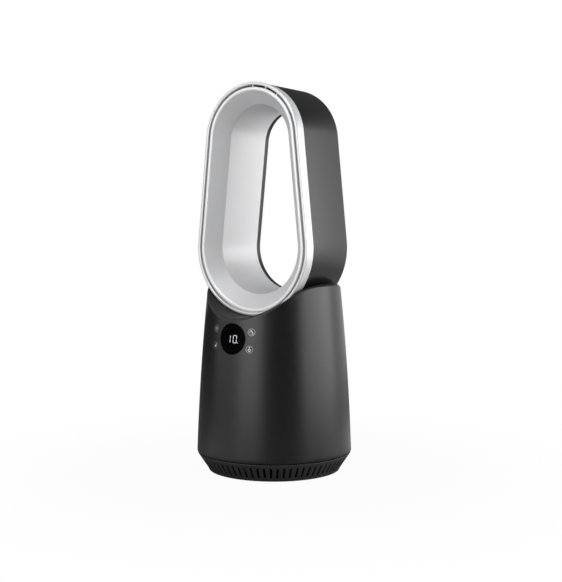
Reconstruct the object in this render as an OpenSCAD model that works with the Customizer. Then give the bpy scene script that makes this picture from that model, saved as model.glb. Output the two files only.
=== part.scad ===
/* [Base] */
// Radius of the base ring where it meets the floor
base_foot_r = 91.5; // [86:0.5:96]
// How far the base ring's upper edge stands inside the tower's foot
base_step = 0.7; // [0.4:0.1:1.5]
// Height of the base ring's upper edge above the floor
base_h = 27; // [25:0.5:30]
// Wall of the base ring
base_wall = 2.2; // [1.8:0.1:3]
// Number of intake slots round the base
slot_count = 72; // [48:2:80]
// Width of one intake slot
slot_w = 3; // [2:0.1:3.4]
// Height at which the slots start
slot_low = 6.5; // [6:0.5:9]
// Height at which the slots end
slot_high = 21.5; // [18:0.5:22]
// Thickness of the floor plate
plate_t = 3; // [2:0.25:4]
// Height of the rubber feet under the plate
foot_h = 2; // [1.5:0.25:3]
// Radius of one rubber foot
foot_r = 9; // [6:0.5:11]
// Number of rubber feet
foot_count = 4; // [3:1:6]

/* [Pivot and drive] */
// Radius of the fixed centre post
post_r = 16; // [14:0.5:18]
// Radius of the wire passage through the post
post_bore_r = 9; // [6:0.5:10]
// Tooth module of the sweep gears
gear_m = 1.25; // [1:0.05:1.3]
// Teeth on the fixed gear round the post
sun_teeth = 42; // [40:1:46]
// Teeth on the motor's pinion
pinion_teeth = 14; // [12:1:16]
// Face width of both gears
gear_w = 8; // [5:0.5:9]
// Radius of the sweep motor's can
sweep_motor_r = 14; // [12:0.5:17]
// Height of the sweep motor's can
sweep_motor_h = 19; // [14:0.5:22]

/* [Tower] */
// Outer radius of the tower at its foot
tower_r = 110; // [107:0.5:113]
// Open seam between the base ring and the tower
seam = 1.3; // [0.8:0.1:2]
// Wall of the tower housing
tower_wall = 2.6; // [2:0.1:3.2]
// Lean of the tower wall at its foot, in degrees
lean = 2; // [1:0.25:3]
// Radius of the wall's long upright curve
barrel_r = 3500; // [2500:100:6000]
// Height of the two side shoulders
shoulder_z = 267.3; // [260:0.5:274]
// Softness of the bend from the saddle to the shoulders
shoulder_blend = 8; // [5:0.5:10]
// Rounding of the tower's upper rim
rim_round = 5; // [3:0.5:7]

/* [Air loop] */
// Radius of the air slot's lower bend
loop_low_r = 87.7; // [82:0.5:92]
// Radius of the air slot's upper bend
loop_high_r = 72.2; // [66:0.5:78]
// Height of the lower bend's centre
loop_low_z = 316.1; // [310:0.5:322]
// Rise from the lower bend's centre to the upper one's
loop_rise = 149.3; // [120:1:180]
// Distance of the loop's front face from the tower's axis
loop_front = 59; // [55:0.5:62]
// Distance of the loop's rear face from the tower's axis
loop_back = 53; // [49:0.5:56]
// Width of the air slot
air_slot = 2.8; // [1.8:0.1:3.2]
// Depth of the silver band behind the front face
band_depth = 19.3; // [15:0.5:23]
// How far the band's front edge stands outside the slot's centre line
band_out = 6; // [5:0.25:7]
// Inward reach of the funnel, from the slot to its crease
funnel_in = 23; // [20:0.5:25]
// Depth of the funnel's crease behind the front face
funnel_depth = 21; // [16:0.5:25]
// Inward reach of the straight duct at its rear end
duct_in = 25.4; // [24:0.2:27]
// Wall of the loop's mouldings
loop_wall = 2.2; // [1.8:0.1:2.6]
// Depth of the dark lip round the rear opening
rear_lip = 9; // [6:0.5:12]
// Rounding of the loop's rear outer edge
rear_round = 6; // [4:0.5:8]
// Spacing of the spacer ribs along the air slot
rib_pitch = 18.6; // [14:0.2:30]

/* [Neck] */
// Radius of the air passage from the tower into the loop
neck_r = 33; // [28:0.5:35]
// Wall of the loop's collar
collar_wall = 2.4; // [2:0.1:3]
// Height of the union nut that clamps the loop down
union_nut_h = 5.5; // [4:0.5:7]

/* [Fan] */
// Height of the stands that carry the fan over the turntable
stand_h = 26; // [22:1:28]
// Height of the rubber mounts on the stands
mount_h = 6; // [4:0.5:8]
// Number of impeller blades
blade_count = 9; // [7:1:11]
// Radius of the impeller's inlet eye
eye_r = 45; // [40:0.5:48]
// Radius of the impeller at its outlet
impeller_r = 64; // [60:0.5:66]
// Height of the impeller
impeller_h = 30; // [26:1:34]
// Running gap between blade tips and shroud
tip_gap = 0.6; // [0.4:0.1:1.2]
// Number of stator vanes
vane_count = 11; // [7:1:13]
// Radius of the fan motor
motor_r = 28; // [24:0.5:29]
// Height of the fan motor
motor_h = 26; // [22:1:28]
// Radius of the fan motor's shaft
shaft_r = 4; // [3:0.25:5]

/* [Heater] */
// Height of the heater frame
heater_h = 32; // [28:1:34]
// Width of the heating element
element_w = 92; // [80:1:96]
// Depth of the heating element
element_d = 76; // [64:1:80]
// Height of the heating element
element_h = 22; // [16:1:24]
// Number of heater bars
bar_count = 5; // [3:1:6]
// Spacing of the heater fins
fin_pitch = 6; // [4:0.5:10]

/* [Controls] */
// Depth of the display's centre under the lowest point of the saddle
display_drop = 28; // [27:0.5:36]
// Radius of the display lens
display_r = 21; // [18:0.5:23]
// Sideways distance of the touch sensors from the display's centre
key_x = 29; // [28:0.5:32]
// Height of the touch sensors above and below the display's centre
key_rise = 11.5; // [9:0.5:13]

/* [Safety and supply] */
// Distance of the tip-over switch from the tower's axis
tip_switch_r = 66; // [60:0.5:70]
// Travel of the tip-over plunger
tip_travel = 3; // [2:0.25:3.5]
// Radius of the opening for the supply cord
cord_r = 4; // [3:0.25:4.5]

/* [Hidden] */
$fn = 96;

// Clearances: flat running faces, running bores, fixed fits and joints between mouldings
slide_gap = 0.15;
run_gap = 0.08;
fit_gap = 0.05;
seat_gap = 0.3;
eps = 0.01;
weld = 0.6;
weld_inset = 0.05;

// Heights in the base
plate_z = foot_h;
plate_top = plate_z + plate_t;
ring_low = plate_z - 1;
base_top_r = tower_r - base_step;
flange_t = 2.4;
base_boss_r = 3.8;
base_boss_at = base_foot_r - 7.5;
flange_in_r = base_boss_at - base_boss_r - 0.7;
base_screw_count = 6;
base_screw_seat = plate_z + 1.6;
base_screw_l = 12;
foot_at = base_foot_r - 19.5;
foot_recess = 1;
cone_low_z = plate_z + 0.5;
cone_low_r = base_foot_r + 2;
cone_high_z = base_h - 0.8;
slot_skip = 7;

// Heights of the turntable and its pivot
tower_z = base_h + seam;
deck_t = 3;
deck_z = tower_z + seat_gap;
deck_top = deck_z + deck_t;
deck_r = tower_r - tower_wall - seat_gap;
hub_z = deck_z - 2.6;
hub_top = deck_top + 8;
hub_r = post_r + 6;
post_top = hub_top + slide_gap;
tower_screw_in = 5.6;
tower_screw_l = 12;
glide_in = 17;
glide_w = 8;
spoke_w = 10;
washer_t = 0.9;
gear_top = hub_z - slide_gap - washer_t;
gear_z = gear_top - gear_w;

// Sweep gears: pitch radii, their distance, and where the pinion sits
sun_pitch_r = gear_m * sun_teeth / 2;
pinion_pitch_r = gear_m * pinion_teeth / 2;
gear_distance = sun_pitch_r + pinion_pitch_r;
pinion_at = 150;
backlash = 0.3;
sweep_shaft_r = 2.5;
sweep_shaft_offset = 8;
sweep_pad_t = 2;
sweep_motor_z = deck_top + sweep_pad_t;
ear_distance = sweep_motor_r + 3.5;

// Small screws
screw_r = 1.5;
screw_head_r = 3;
screw_head_h = 2;
retainer_screw_l = 9;
stand_bite = 10;
motor_screw_l = 5;

// Fan stack, upwards from the turntable
stand_r = 6;
stand_at = tower_r - 28;
stand_count = 3;
deck_in_r = stand_at - stand_r - 2;
spoke_l = stand_at - 3 - hub_r;
fan_z = deck_top + stand_h + mount_h;
ear_t = 3;
shroud_wall = 2;
impeller_z = fan_z + 12;
impeller_top = impeller_z + impeller_h;
bucket_r = motor_r + 3;
bucket_wall = 2;
bucket_z = impeller_top + 4;
motor_z = bucket_z + bucket_wall;
motor_top = motor_z + motor_h;
casing_r = impeller_r + 5;
shroud_top = motor_top + 4;
vane_ring_wall = 1.8;
vane_ring_r = casing_r - seat_gap - vane_ring_wall;
vane_wrap = 24;

// Heater and the way up to the loop
heater_z = shroud_top + seat_gap;
heater_top = heater_z + heater_h;
frame_wall = 2.4;
collar_r = neck_r + collar_wall;
saddle_r = loop_low_r + band_out + seat_gap + 0.1;
saddle_z = loop_low_z - saddle_r;
boss_z = saddle_z - tower_wall - 5;
boss_wall = 9;
neck_hole_r = collar_r + 1;
nut_z = boss_z - seat_gap - union_nut_h;
socket_top = nut_z - seat_gap;
socket_h = 7;
socket_z = socket_top - socket_h;
seal_gap = 2.6;

// Loop: tangent angle, straight length and the heights of its sections
loop_tilt = asin((loop_low_r - loop_high_r) / loop_rise);
loop_side = loop_rise * cos(loop_tilt);
slot_half = air_slot / 2;
band_back = loop_front - band_depth;
band_back_out = band_out - 1.2;
rear_out = band_back_out - 1.2;
lip_w = 4.2;
crease_f = loop_front - funnel_depth;
duct_end_f = -(loop_back - rear_lip);
tongue_t = 1.6;
tongue_l = band_back - collar_r - seat_gap;
tongue_lead = tongue_l / 20;
rib_depth = 6.5;
rib_w = 1.2;

// Panel on the front of the tower
display_z = saddle_z - display_drop;
panel_w = 2 * key_x + 20;
panel_h = 2 * (display_drop - rim_round) - 1;
panel_back = tower_r / 2;
carrier_t = 1.8;
board_t = 1.6;

// Supply and safety pieces in the base
cord_z = plate_top + 6.5;
gland_len = 9;
gland_r = cord_r + 2.2;
plunger_r = 4;
plunger_hole_r = plunger_r + 0.3;
guide_h = 3;
collar_t = 1.5;
spring_h = 7;
collar_z = plate_top + guide_h + tip_travel + seat_gap;
switch_z = collar_z + collar_t + spring_h;
switch_h = 6.5;
pin_r = 1.6;

// Colours
charcoal = "#3a3b3e";
dark = "#26272a";
silver = "#c9cacc";
light = "#e6e7e8";
steel = "#a8abaf";
copper = "#b87333";
green = "#2f6b46";
black = "#111214";
rubber = "#1c1c1e";
white = "#f2f2f0";
brass = "#c8a24a";

// Outer radius of the tower wall at height z: a lean at the foot plus one long upright curve
function wall_r(z) = tower_r - (z - tower_z) * tan(lean) - pow(z - tower_z, 2) / (2 * barrel_r);

// Height of the tower's top at sideways distance x: the loop's lower bend, eased into flat shoulders
function bend_z(x) = loop_low_z - sqrt(max(0, pow(saddle_r, 2) - x * x));
function top_z(x) =
    shoulder_z - shoulder_blend * ln(1 + exp((shoulder_z - bend_z(x)) / shoulder_blend));

// Points of an arc from angle a to angle b round the point c
function arc(c, r, a, b, n = 6) =
    [for (i = [0 : n]) let (t = a + (b - a) * i / n) c + r * [cos(t), sin(t)]];

// The tower's wall as an upright outline between two heights, moved inwards by d
function wall_line(z0, z1, d, n = 10) =
    [for (i = [0 : n]) let (z = z0 + (z1 - z0) * i / n) [wall_r(z) - d, z]];

// A solid skin between depths d0 and d1 behind the front of the tower's wall
module wall_skin(z0, z1, d0, d1)
    rotate_extrude(angle = 80, start = 230)
        polygon(concat(wall_line(z0, z1, d0, 3), wall_line(z1, z0, d1, 3)));

// Copies of the children round the Z axis
module around(count, first = 0)
    for (i = [0 : count - 1])
        rotate([0, 0, first + 360 * i / count]) children();

module tube(r_out, r_in, h)
    difference() {
        cylinder(r = r_out, h = h);
        translate([0, 0, -1]) cylinder(r = r_in, h = h + 2);
    }

// A pan head screw with its head's seat at z = 0 and its shank upwards
module screw(length) {
    translate([0, 0, -screw_head_h]) cylinder(r = screw_head_r, h = screw_head_h);
    translate([0, 0, -eps]) cylinder(r = screw_r, h = length);
}

// Involute gear outline: flank points follow the unwound thread of the base circle
function involute(rb, r) = let (t = sqrt(max(0, pow(r / rb, 2) - 1))) t * 180 / PI - atan(t);
function flank(rp, rb, r, half) = half + involute(rb, rp) - involute(rb, max(r, rb));
module gear_outline(teeth, tip, root) {
    rp = gear_m * teeth / 2;
    rb = rp * cos(20);
    half = (90 / teeth) - backlash / 2 / rp * 180 / PI / 2;
    radii = [rp - root, max(rb, rp - root) + 0.05, rp - 0.2, rp + tip * 0.5, rp + tip];
    polygon([for (k = [0 : teeth - 1], side = [-1, 1], j = [0 : 4])
        let (
            r = side < 0 ? radii[j] : radii[4 - j],
            a = 360 * k / teeth + side * flank(rp, rb, r, half)
        ) r * [cos(a), sin(a)]]);
}

// An outline with every edge moved inwards by d
function turning(p) = sign([for (i = [0 : len(p) - 1]) cross(p[i], p[(i + 1) % len(p)])] * [for (q = p) 1]);
function unit(v) = v / norm(v);
function inset(p, d) = let (n = len(p), s = turning(p)) [for (i = [0 : n - 1])
    let (
        e1 = unit(p[i] - p[(i + n - 1) % n]),
        e2 = unit(p[(i + 1) % n] - p[i]),
        n1 = s * [e1[1], -e1[0]],
        n2 = s * [e2[1], -e2[0]]
    ) p[i] - d * (n1 + n2) / (1 + n1 * n2)];

// Carries an outline (x outwards from the air slot, y towards the front) round the whole loop;
// the straight sides are finer by weld_inset and run into the bends by weld, which makes one moulding
module round_loop(outline)
    translate([0, 0, loop_low_z]) rotate([90, 0, 0]) {
        rotate_extrude(angle = 180 + 2 * loop_tilt, start = 180 - loop_tilt)
            translate([loop_low_r, 0]) polygon(outline);
        translate([0, loop_rise, 0])
            rotate_extrude(angle = 180 - 2 * loop_tilt, start = loop_tilt)
                translate([loop_high_r, 0]) polygon(outline);
        for (side = [0, 1]) mirror([side, 0, 0]) rotate([0, 0, loop_tilt])
            translate([0, loop_side + weld, 0]) rotate([90, 0, 0])
                linear_extrude(height = loop_side + 2 * weld)
                    translate([loop_low_r, 0]) polygon(inset(outline, weld_inset));
    }

// Places the children on the air slot's line, x outwards and z to the front, every rib_pitch
module along_slot()
    translate([0, 0, loop_low_z]) rotate([90, 0, 0]) {
        low_n = round(loop_low_r * (180 + 2 * loop_tilt) * PI / 180 / rib_pitch);
        high_n = round(loop_high_r * (180 - 2 * loop_tilt) * PI / 180 / rib_pitch);
        side_n = round(loop_side / rib_pitch);
        for (i = [0 : low_n - 1])
            rotate([0, 0, 180 - loop_tilt + (180 + 2 * loop_tilt) * (i + 0.5) / low_n])
                translate([loop_low_r, 0, 0]) children();
        for (i = [0 : high_n - 1])
            translate([0, loop_rise, 0])
                rotate([0, 0, loop_tilt + (180 - 2 * loop_tilt) * (i + 0.5) / high_n])
                    translate([loop_high_r, 0, 0]) children();
        for (side = [0, 1], i = [0 : side_n - 1])
            mirror([side, 0, 0]) rotate([0, 0, loop_tilt])
                translate([loop_low_r, loop_side * (i + 0.5) / side_n, 0]) children();
    }

// Triangles that join rings of m points each; the last ring meets the first where it is closed
function skin(rings, m, closed) = [
    for (i = [0 : rings - (closed ? 1 : 2)], j = [0 : m - 1])
        let (a = i * m + j, b = i * m + (j + 1) % m, k = ((i + 1) % rings) * m)
            each [[a, b, k + (j + 1) % m], [a, k + (j + 1) % m, k + j]]
];
function cap(first, m, flip) = [
    for (j = [1 : m - 2]) flip ? [first, first + j + 1, first + j] : [first, first + j, first + j + 1]
];

// A twisted blade: four corners at each station from its inlet (t = 0) to its outlet (t = 1)
module blade(root_r, root_z, tip_r, tip_z, wrap, thick, n = 8) {
    stations = [for (i = [0 : n]) i / n];
    function at(r, z, a, side) = let (b = a + side * thick / 2 / r * 180 / PI) [r * cos(b), r * sin(b), z];
    function mix(v, t) = v[0] + (v[1] - v[0]) * pow(t, v[2]);
    pts = [for (t = stations) let (a = wrap * (1 - pow(1 - t, 1.6)))
        each [
            at(mix(root_r, t), mix(root_z, t), a, -1), at(mix(root_r, t), mix(root_z, t), a, 1),
            at(mix(tip_r, t), mix(tip_z, t), a, 1), at(mix(tip_r, t), mix(tip_z, t), a, -1)
        ]];
    polyhedron(pts, concat(skin(n + 1, 4, false), cap(0, 4, true), cap(n * 4, 4, false)));
}

// Base

module base_plate() color(dark) difference() {
    union() {
        translate([0, 0, plate_z]) cylinder(r = base_foot_r - base_wall - seat_gap, h = plate_t);
        translate([0, 0, plate_z]) cylinder(r = post_r + 4, h = gear_z - plate_z);
        translate([0, 0, plate_z]) cylinder(r = post_r, h = post_top - plate_z);
        around(8, 22.5) translate([post_r + 2, -1, plate_z])
            cube([base_boss_at - post_r - 10, 2, plate_t + 4]);
        at_tip_switch() translate([0, 0, plate_z])
            cylinder(r = plunger_hole_r + 2.5, h = plate_t + guide_h);
    }
    translate([0, 0, -1]) cylinder(r = post_bore_r, h = post_top + 2);
    at_tip_switch() translate([0, 0, -1]) cylinder(r = plunger_hole_r, h = plate_top + guide_h + 2);
    around(base_screw_count, 30) translate([base_boss_at, 0, -1]) {
        cylinder(r = screw_r + 0.2, h = plate_top + 2);
        cylinder(r = screw_head_r + 0.3, h = base_screw_seat + 1);
    }
    around(foot_count, 45) translate([foot_at, 0, plate_z - 1])
        cylinder(r = foot_r + fit_gap, h = 1 + foot_recess);
    at_retainer_screws(post_top + 1 - retainer_screw_l) cylinder(r = screw_r, h = retainer_screw_l);
}

// Radius of the base ring's outside at height z
function cone_r(z) =
    cone_low_r + (z - cone_low_z) * (base_top_r - cone_low_r) / (cone_high_z - cone_low_z);

module base_ring() color(charcoal) difference() {
    across = base_wall * 1.2;
    union() {
        rotate_extrude() polygon([
            [base_foot_r - base_wall, ring_low], [base_foot_r - 0.4, ring_low],
            [base_foot_r + 1, ring_low + 0.6], [cone_low_r, cone_low_z],
            [base_top_r, cone_high_z], [base_top_r - 0.8, base_h],
            [flange_in_r, base_h], [flange_in_r, base_h - flange_t],
            [cone_r(base_h - flange_t) - across, base_h - flange_t],
            [cone_r(plate_top) - across, plate_top],
            [base_foot_r - base_wall, plate_top - 1]
        ]);
        around(base_screw_count, 30) translate([base_boss_at, 0, plate_top])
            cylinder(r = base_boss_r, h = base_h - flange_t / 2 - plate_top);
    }
    for (i = [0 : slot_count - 1])
        let (a = 360 * (i + 0.5) / slot_count)
            if (abs(a - 90) > slot_skip) rotate([0, 0, a]) intake_slot();
    around(base_screw_count, 30) translate([base_boss_at, 0, plate_top - 1])
        cylinder(r = screw_r, h = base_screw_l + 1);
    translate([0, cone_r(cord_z) - gland_len, cord_z]) rotate([-90, 0, 0])
        cylinder(r = gland_r + fit_gap, h = 2 * gland_len);
}
module intake_slot()
    rotate([90, 0, 0]) translate([0, 0, -slot_w / 2]) linear_extrude(height = slot_w)
        polygon([
            [cone_r(slot_low) - 4, slot_low], [cone_r(slot_low) + 2, slot_low],
            [cone_r(slot_high) + 2, slot_high], [cone_r(slot_high) - 4, slot_high]
        ]);

module rubber_feet() color(rubber)
    around(foot_count, 45) translate([foot_at, 0, 0]) {
        cylinder(r1 = foot_r - 1, r2 = foot_r, h = 1);
        translate([0, 0, 1]) cylinder(r = foot_r, h = plate_z + foot_recess - 1);
    }

module base_screws() color(steel)
    around(base_screw_count, 30) translate([base_boss_at, 0, base_screw_seat]) screw(base_screw_l);

module sun_gear() color(white)
    translate([0, 0, gear_z]) rotate([0, 0, pinion_at]) linear_extrude(height = gear_w)
        difference() {
            gear_outline(sun_teeth, gear_m * 0.9, gear_m * 1.2);
            circle(r = post_r + fit_gap);
        }

module thrust_washer() color(brass)
    translate([0, 0, gear_top]) tube(hub_r - 1, post_r + fit_gap, washer_t);

module glide_pads() color(white)
    for (i = [0 : 5])
        rotate([0, 0, 60 * i])
            rotate_extrude(angle = 24)
                translate([deck_r - glide_in, base_h]) square([glide_w, deck_z - slide_gap - base_h]);

module at_retainer_screws(z)
    around(3) translate([(post_r + post_bore_r) / 2, 0, z]) children();

module retainer_plate() color(steel) difference() {
    translate([0, 0, post_top]) tube(hub_r - 1, post_bore_r, 2);
    at_retainer_screws(post_top - 1) cylinder(r = screw_r + 0.2, h = 4);
}
module retainer_screws() color(steel)
    at_retainer_screws(post_top + 2) rotate([180, 0, 0]) screw(retainer_screw_l);

// Tip-over switch: a sprung plunger that the floor pushes up through the plate
module at_tip_switch() rotate([0, 0, -90]) translate([tip_switch_r, 0, 0]) children();

module tip_plunger() color(white) at_tip_switch() {
    cylinder(r = plunger_r, h = collar_z + eps);
    translate([0, 0, collar_z]) cylinder(r = plunger_r + 2, h = collar_t);
    translate([0, 0, collar_z]) cylinder(r = pin_r, h = switch_z - collar_z + 4);
}
module tip_switch() color(black) at_tip_switch() difference() {
    union() {
        translate([-6, -13, switch_z]) cube([12, 26, switch_h]);
        for (side = [-1, 1])
            translate([-4, side * 11.5 - 1.5, plate_top]) cube([8, 3, switch_z - plate_top + 1]);
    }
    translate([0, 0, switch_z - 1]) cylinder(r = pin_r + 0.3, h = 6.2);
}
module tip_spring() color(steel) at_tip_switch() {
    turns = 5;
    steps = 10;
    wire = 0.35;
    sides = 6;
    rise = switch_z - collar_z - collar_t - 2 * wire - 0.2;
    pts = [for (i = [0 : turns * steps], j = [0 : sides - 1])
        let (a = 360 * i / steps, b = 360 * j / sides, r = pin_r + 1.6 + wire * cos(b))
            [r * cos(a), r * sin(a),
                collar_z + collar_t + wire + 0.1 + rise * i / turns / steps + wire * sin(b)]];
    n = turns * steps + 1;
    polyhedron(pts, concat(skin(n, sides, false), cap(0, sides, true), cap((n - 1) * sides, sides, false)));
}

module cord_gland() color(rubber)
    translate([0, cone_r(cord_z) + 2 - gland_len, cord_z]) rotate([-90, 0, 0])
        tube(gland_r, cord_r, gland_len);

// Tower

module at_tower_screws() around(4, 45)
    translate([wall_r(deck_top) - tower_wall - tower_screw_in, 0, 0]) children();
module at_stands() around(stand_count, 30) translate([stand_at, 0, 0]) children();
module at_pinion() rotate([0, 0, pinion_at]) translate([gear_distance, 0, 0]) children();
module at_sweep_motor_ears() at_pinion()
    for (side = [-1, 1]) translate([sweep_shaft_offset, side * ear_distance, 0]) children();

module turntable() color(dark) difference() {
    union() {
        translate([0, 0, deck_z]) tube(deck_r, deck_in_r, deck_t);
        translate([0, 0, hub_z]) cylinder(r = hub_r, h = hub_top - hub_z);
        around(6, 30) translate([hub_r - 1, -spoke_w / 2, deck_z])
            cube([spoke_l, spoke_w, deck_t]);
        around(6, 30) translate([hub_r - 1, -1, deck_z]) cube([spoke_l, 2, deck_t + 5]);
        at_pinion() translate([sweep_shaft_offset, 0, deck_z])
            cylinder(r = ear_distance + 4, h = sweep_motor_z - deck_z);
        at_stands() translate([0, 0, deck_z]) cylinder(r = stand_r, h = deck_t + stand_h);
        at_tower_screws() translate([0, 0, deck_z]) cylinder(r = tower_screw_in - 1, h = deck_t + 2);
    }
    translate([0, 0, hub_z - 1]) cylinder(r = post_r + run_gap, h = hub_top - hub_z + 2);
    at_pinion() translate([sweep_shaft_offset, 0, sweep_motor_z]) cylinder(r = ear_distance + 5, h = 9);
    at_pinion() translate([0, 0, deck_z - 1]) cylinder(r = 5, h = 9);
    at_sweep_motor_ears() translate([0, 0, deck_z - 1]) cylinder(r = screw_r, h = 9);
    at_stands() translate([0, 0, deck_top + stand_h - stand_bite - 2])
        cylinder(r = screw_r, h = stand_bite + 3);
    at_tower_screws() translate([0, 0, deck_z - 1]) {
        cylinder(r = screw_r + 0.2, h = 9);
        cylinder(r = screw_head_r + 0.3, h = 1 + screw_head_h + 0.2);
    }
}

// The housing: one skin lofted round the axis, from the foot up the barrel wall, over a rounded rim,
// across the saddle that the loop's lower bend sits in, and back down inside
function edge_z(a) = top_z(wall_r(shoulder_z) * cos(a)) - rim_round;
function under_z(x) =
    top_z(x) - tower_wall * sqrt(1 + pow(top_z(x + 0.5) - top_z(x - 0.5), 2));
function spot(a, r, z) = [r * cos(a), r * sin(a), z];
skin_core_r = neck_hole_r - 5;
rim_steps = [for (i = [1 : 5]) 18 * i];

// One upright line of the housing's outside at angle a, then one of its inside, back to the foot
function outside(a, levels = 6) = let (e = edge_z(a), re = wall_r(e)) concat(
    [for (i = [0 : levels]) let (z = tower_z + (e - tower_z) * i / levels) spot(a, wall_r(z), z)],
    [for (b = rim_steps) let (r = re - rim_round * (1 - cos(b)))
        spot(a, r, top_z(r * cos(a)) - rim_round * (1 - sin(b)))],
    [for (s = [0.25, 0.5, 0.75, 1]) let (r = (re - rim_round) * (1 - s) + skin_core_r * s)
        spot(a, r, top_z(r * cos(a)))]);
function inside(a) = let (e = edge_z(a), re = wall_r(e) - tower_wall - 1.5) concat(
    [for (s = [1, 0.75, 0.5, 0.25, 0.02]) let (r = re * (1 - s) + skin_core_r * s)
        spot(a, r, under_z(r * cos(a)))],
    [for (i = [0 : 3]) let (top = min(e, under_z((re + 1.5) * cos(a)) - 1), z = top + (tower_z - top) * i / 3)
        spot(a, wall_r(z) - tower_wall, z)]);

module housing() color(charcoal) difference() {
    steps = 96;
    loops = [for (i = [0 : steps - 1]) concat(outside(360 * i / steps), inside(360 * i / steps))];
    m = len(loops[0]);
    union() {
        polyhedron([for (l = loops) each l], skin(steps, m, true));
        difference() {
            translate([0, 0, boss_z]) cylinder(r = neck_hole_r + boss_wall, h = 25);
            translate([0, 0, loop_low_z]) rotate([90, 0, 0])
                cylinder(r = saddle_r + tower_wall / 2, h = 2 * tower_r, center = true);
        }
        at_tower_screws() translate([0, 0, deck_top + 2])
            cylinder(r = tower_screw_in + 0.6, h = tower_screw_l + 4);
    }
    translate([0, 0, boss_z - 1]) cylinder(r = neck_hole_r, h = 30);
    translate([0, -panel_back, display_z]) rotate([90, 0, 0]) cylinder(r = display_r + 0.15, h = panel_back);
    at_tower_screws() translate([0, 0, deck_top + 1]) cylinder(r = screw_r, h = tower_screw_l + 1);
}

module tower_screws() color(steel)
    at_tower_screws() translate([0, 0, deck_z + screw_head_h + 0.2]) screw(tower_screw_l);

module sweep_motor() color(steel) difference() {
    at_pinion() {
        translate([sweep_shaft_offset, 0, sweep_motor_z]) cylinder(r = sweep_motor_r, h = sweep_motor_h);
        translate([0, 0, sweep_motor_z - 1.5]) cylinder(r = 4.5, h = 2);
        translate([sweep_shaft_offset - 3, -ear_distance, sweep_motor_z]) cube([6, 2 * ear_distance, 1]);
        for (side = [-1, 1]) translate([sweep_shaft_offset, side * ear_distance, sweep_motor_z])
            cylinder(r = 3, h = 1);
        translate([sweep_shaft_offset + sweep_motor_r - 3, -7, sweep_motor_z]) cube([6, 14, 16]);
    }
    at_pinion() translate([0, 0, sweep_motor_z - 2]) cylinder(r = sweep_shaft_r + run_gap, h = 10);
    at_sweep_motor_ears() translate([0, 0, sweep_motor_z - 1]) cylinder(r = screw_r + 0.2, h = 3);
}
module sweep_motor_screws() color(steel)
    at_sweep_motor_ears() translate([0, 0, sweep_motor_z + 1]) rotate([180, 0, 0]) screw(motor_screw_l);

module drive_pinion() color(white)
    at_pinion() translate([0, 0, gear_z]) rotate([0, 0, 180 + 180 / pinion_teeth])
        linear_extrude(height = gear_w)
            difference() {
                gear_outline(pinion_teeth, gear_m, gear_m * 1.2);
                circle(r = sweep_shaft_r + fit_gap);
            }
module pinion_shaft() color(steel)
    at_pinion() translate([0, 0, gear_z - 0.5]) cylinder(r = sweep_shaft_r, h = sweep_motor_z + 7 - gear_z);

// Fan

module rubber_mounts() color(rubber)
    at_stands() translate([0, 0, deck_top + stand_h]) tube(stand_r + 1, screw_r + 0.3, mount_h);
module mount_screws() color(steel)
    at_stands() translate([0, 0, fan_z + ear_t]) rotate([180, 0, 0]) screw(ear_t + mount_h + stand_bite);

// The line of the blade tips: share t of the way from the eye to the outlet
function mix(v, t) = v[0] + (v[1] - v[0]) * pow(t, v[2]);
tip_line_r = [eye_r, impeller_r, 1.6];
tip_line_z = [impeller_z, impeller_top - 4, 1];
root_line_r = [14, bucket_r + 9, 1.8];
root_line_z = [impeller_z + 1, impeller_top, 1];

module fan_shroud() color(light) difference() {
    bell = 12;
    bell_c = [eye_r + tip_gap + bell, impeller_z];
    shares = [0, 0.2, 0.4, 0.6, 0.8, 1];
    union() {
        rotate_extrude() polygon(concat(
            arc(bell_c, bell, -90, -180),
            [for (t = shares) [mix(tip_line_r, t) + tip_gap, mix(tip_line_z, t)]],
            [[casing_r, impeller_top + 3], [casing_r, shroud_top], [casing_r + shroud_wall, shroud_top],
                [casing_r + shroud_wall, impeller_top + 1]],
            [for (t = [1, 0.8, 0.6, 0.4, 0.2, 0])
                [mix(tip_line_r, t) + tip_gap + shroud_wall, mix(tip_line_z, t) - 1]],
            arc(bell_c, bell - shroud_wall, -180, -90)));
        translate([0, 0, fan_z]) tube(bell_c[0] + 5, bell_c[0] - 1, shroud_wall);
        translate([0, 0, motor_top - 16]) tube(casing_r + 1, casing_r - 2.2, 2);
        at_stands() translate([0, 0, fan_z]) cylinder(r = stand_r + 1, h = ear_t);
        around(stand_count, 30) translate([bell_c[0], -stand_r - 1, fan_z])
            cube([stand_at - bell_c[0], 2 * stand_r + 2, ear_t]);
    }
    at_stands() translate([0, 0, fan_z - 1]) cylinder(r = screw_r + 0.2, h = ear_t + 2);
}

module diffuser() color(light) difference() {
    union() {
        translate([0, 0, bucket_z]) cylinder(r = bucket_r, h = motor_top - bucket_z);
        translate([0, 0, motor_top - 14]) tube(vane_ring_r + vane_ring_wall, vane_ring_r, 14);
        around(vane_count, -vane_wrap / 6)
            blade([bucket_r - 0.6, bucket_r - 0.6, 1], [bucket_z + 4, motor_top - 1, 1],
                [vane_ring_r + 0.6, vane_ring_r + 0.6, 1], [motor_top - 13, motor_top - 1, 1],
                -vane_wrap, 1.6, 5);
    }
    translate([0, 0, motor_z]) cylinder(r = bucket_r - bucket_wall, h = motor_h + 1);
    translate([0, 0, bucket_z - 1]) cylinder(r = 10, h = bucket_wall + 2);
    at_motor_screws(bucket_z - 1) cylinder(r = screw_r + 0.2, h = bucket_wall + 2);
}
module at_motor_screws(z) around(3, 30) translate([motor_r - 9, 0, z]) children();

bearing_r = 8;
bearing_h = 4;
can_wall = 1.2;

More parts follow.
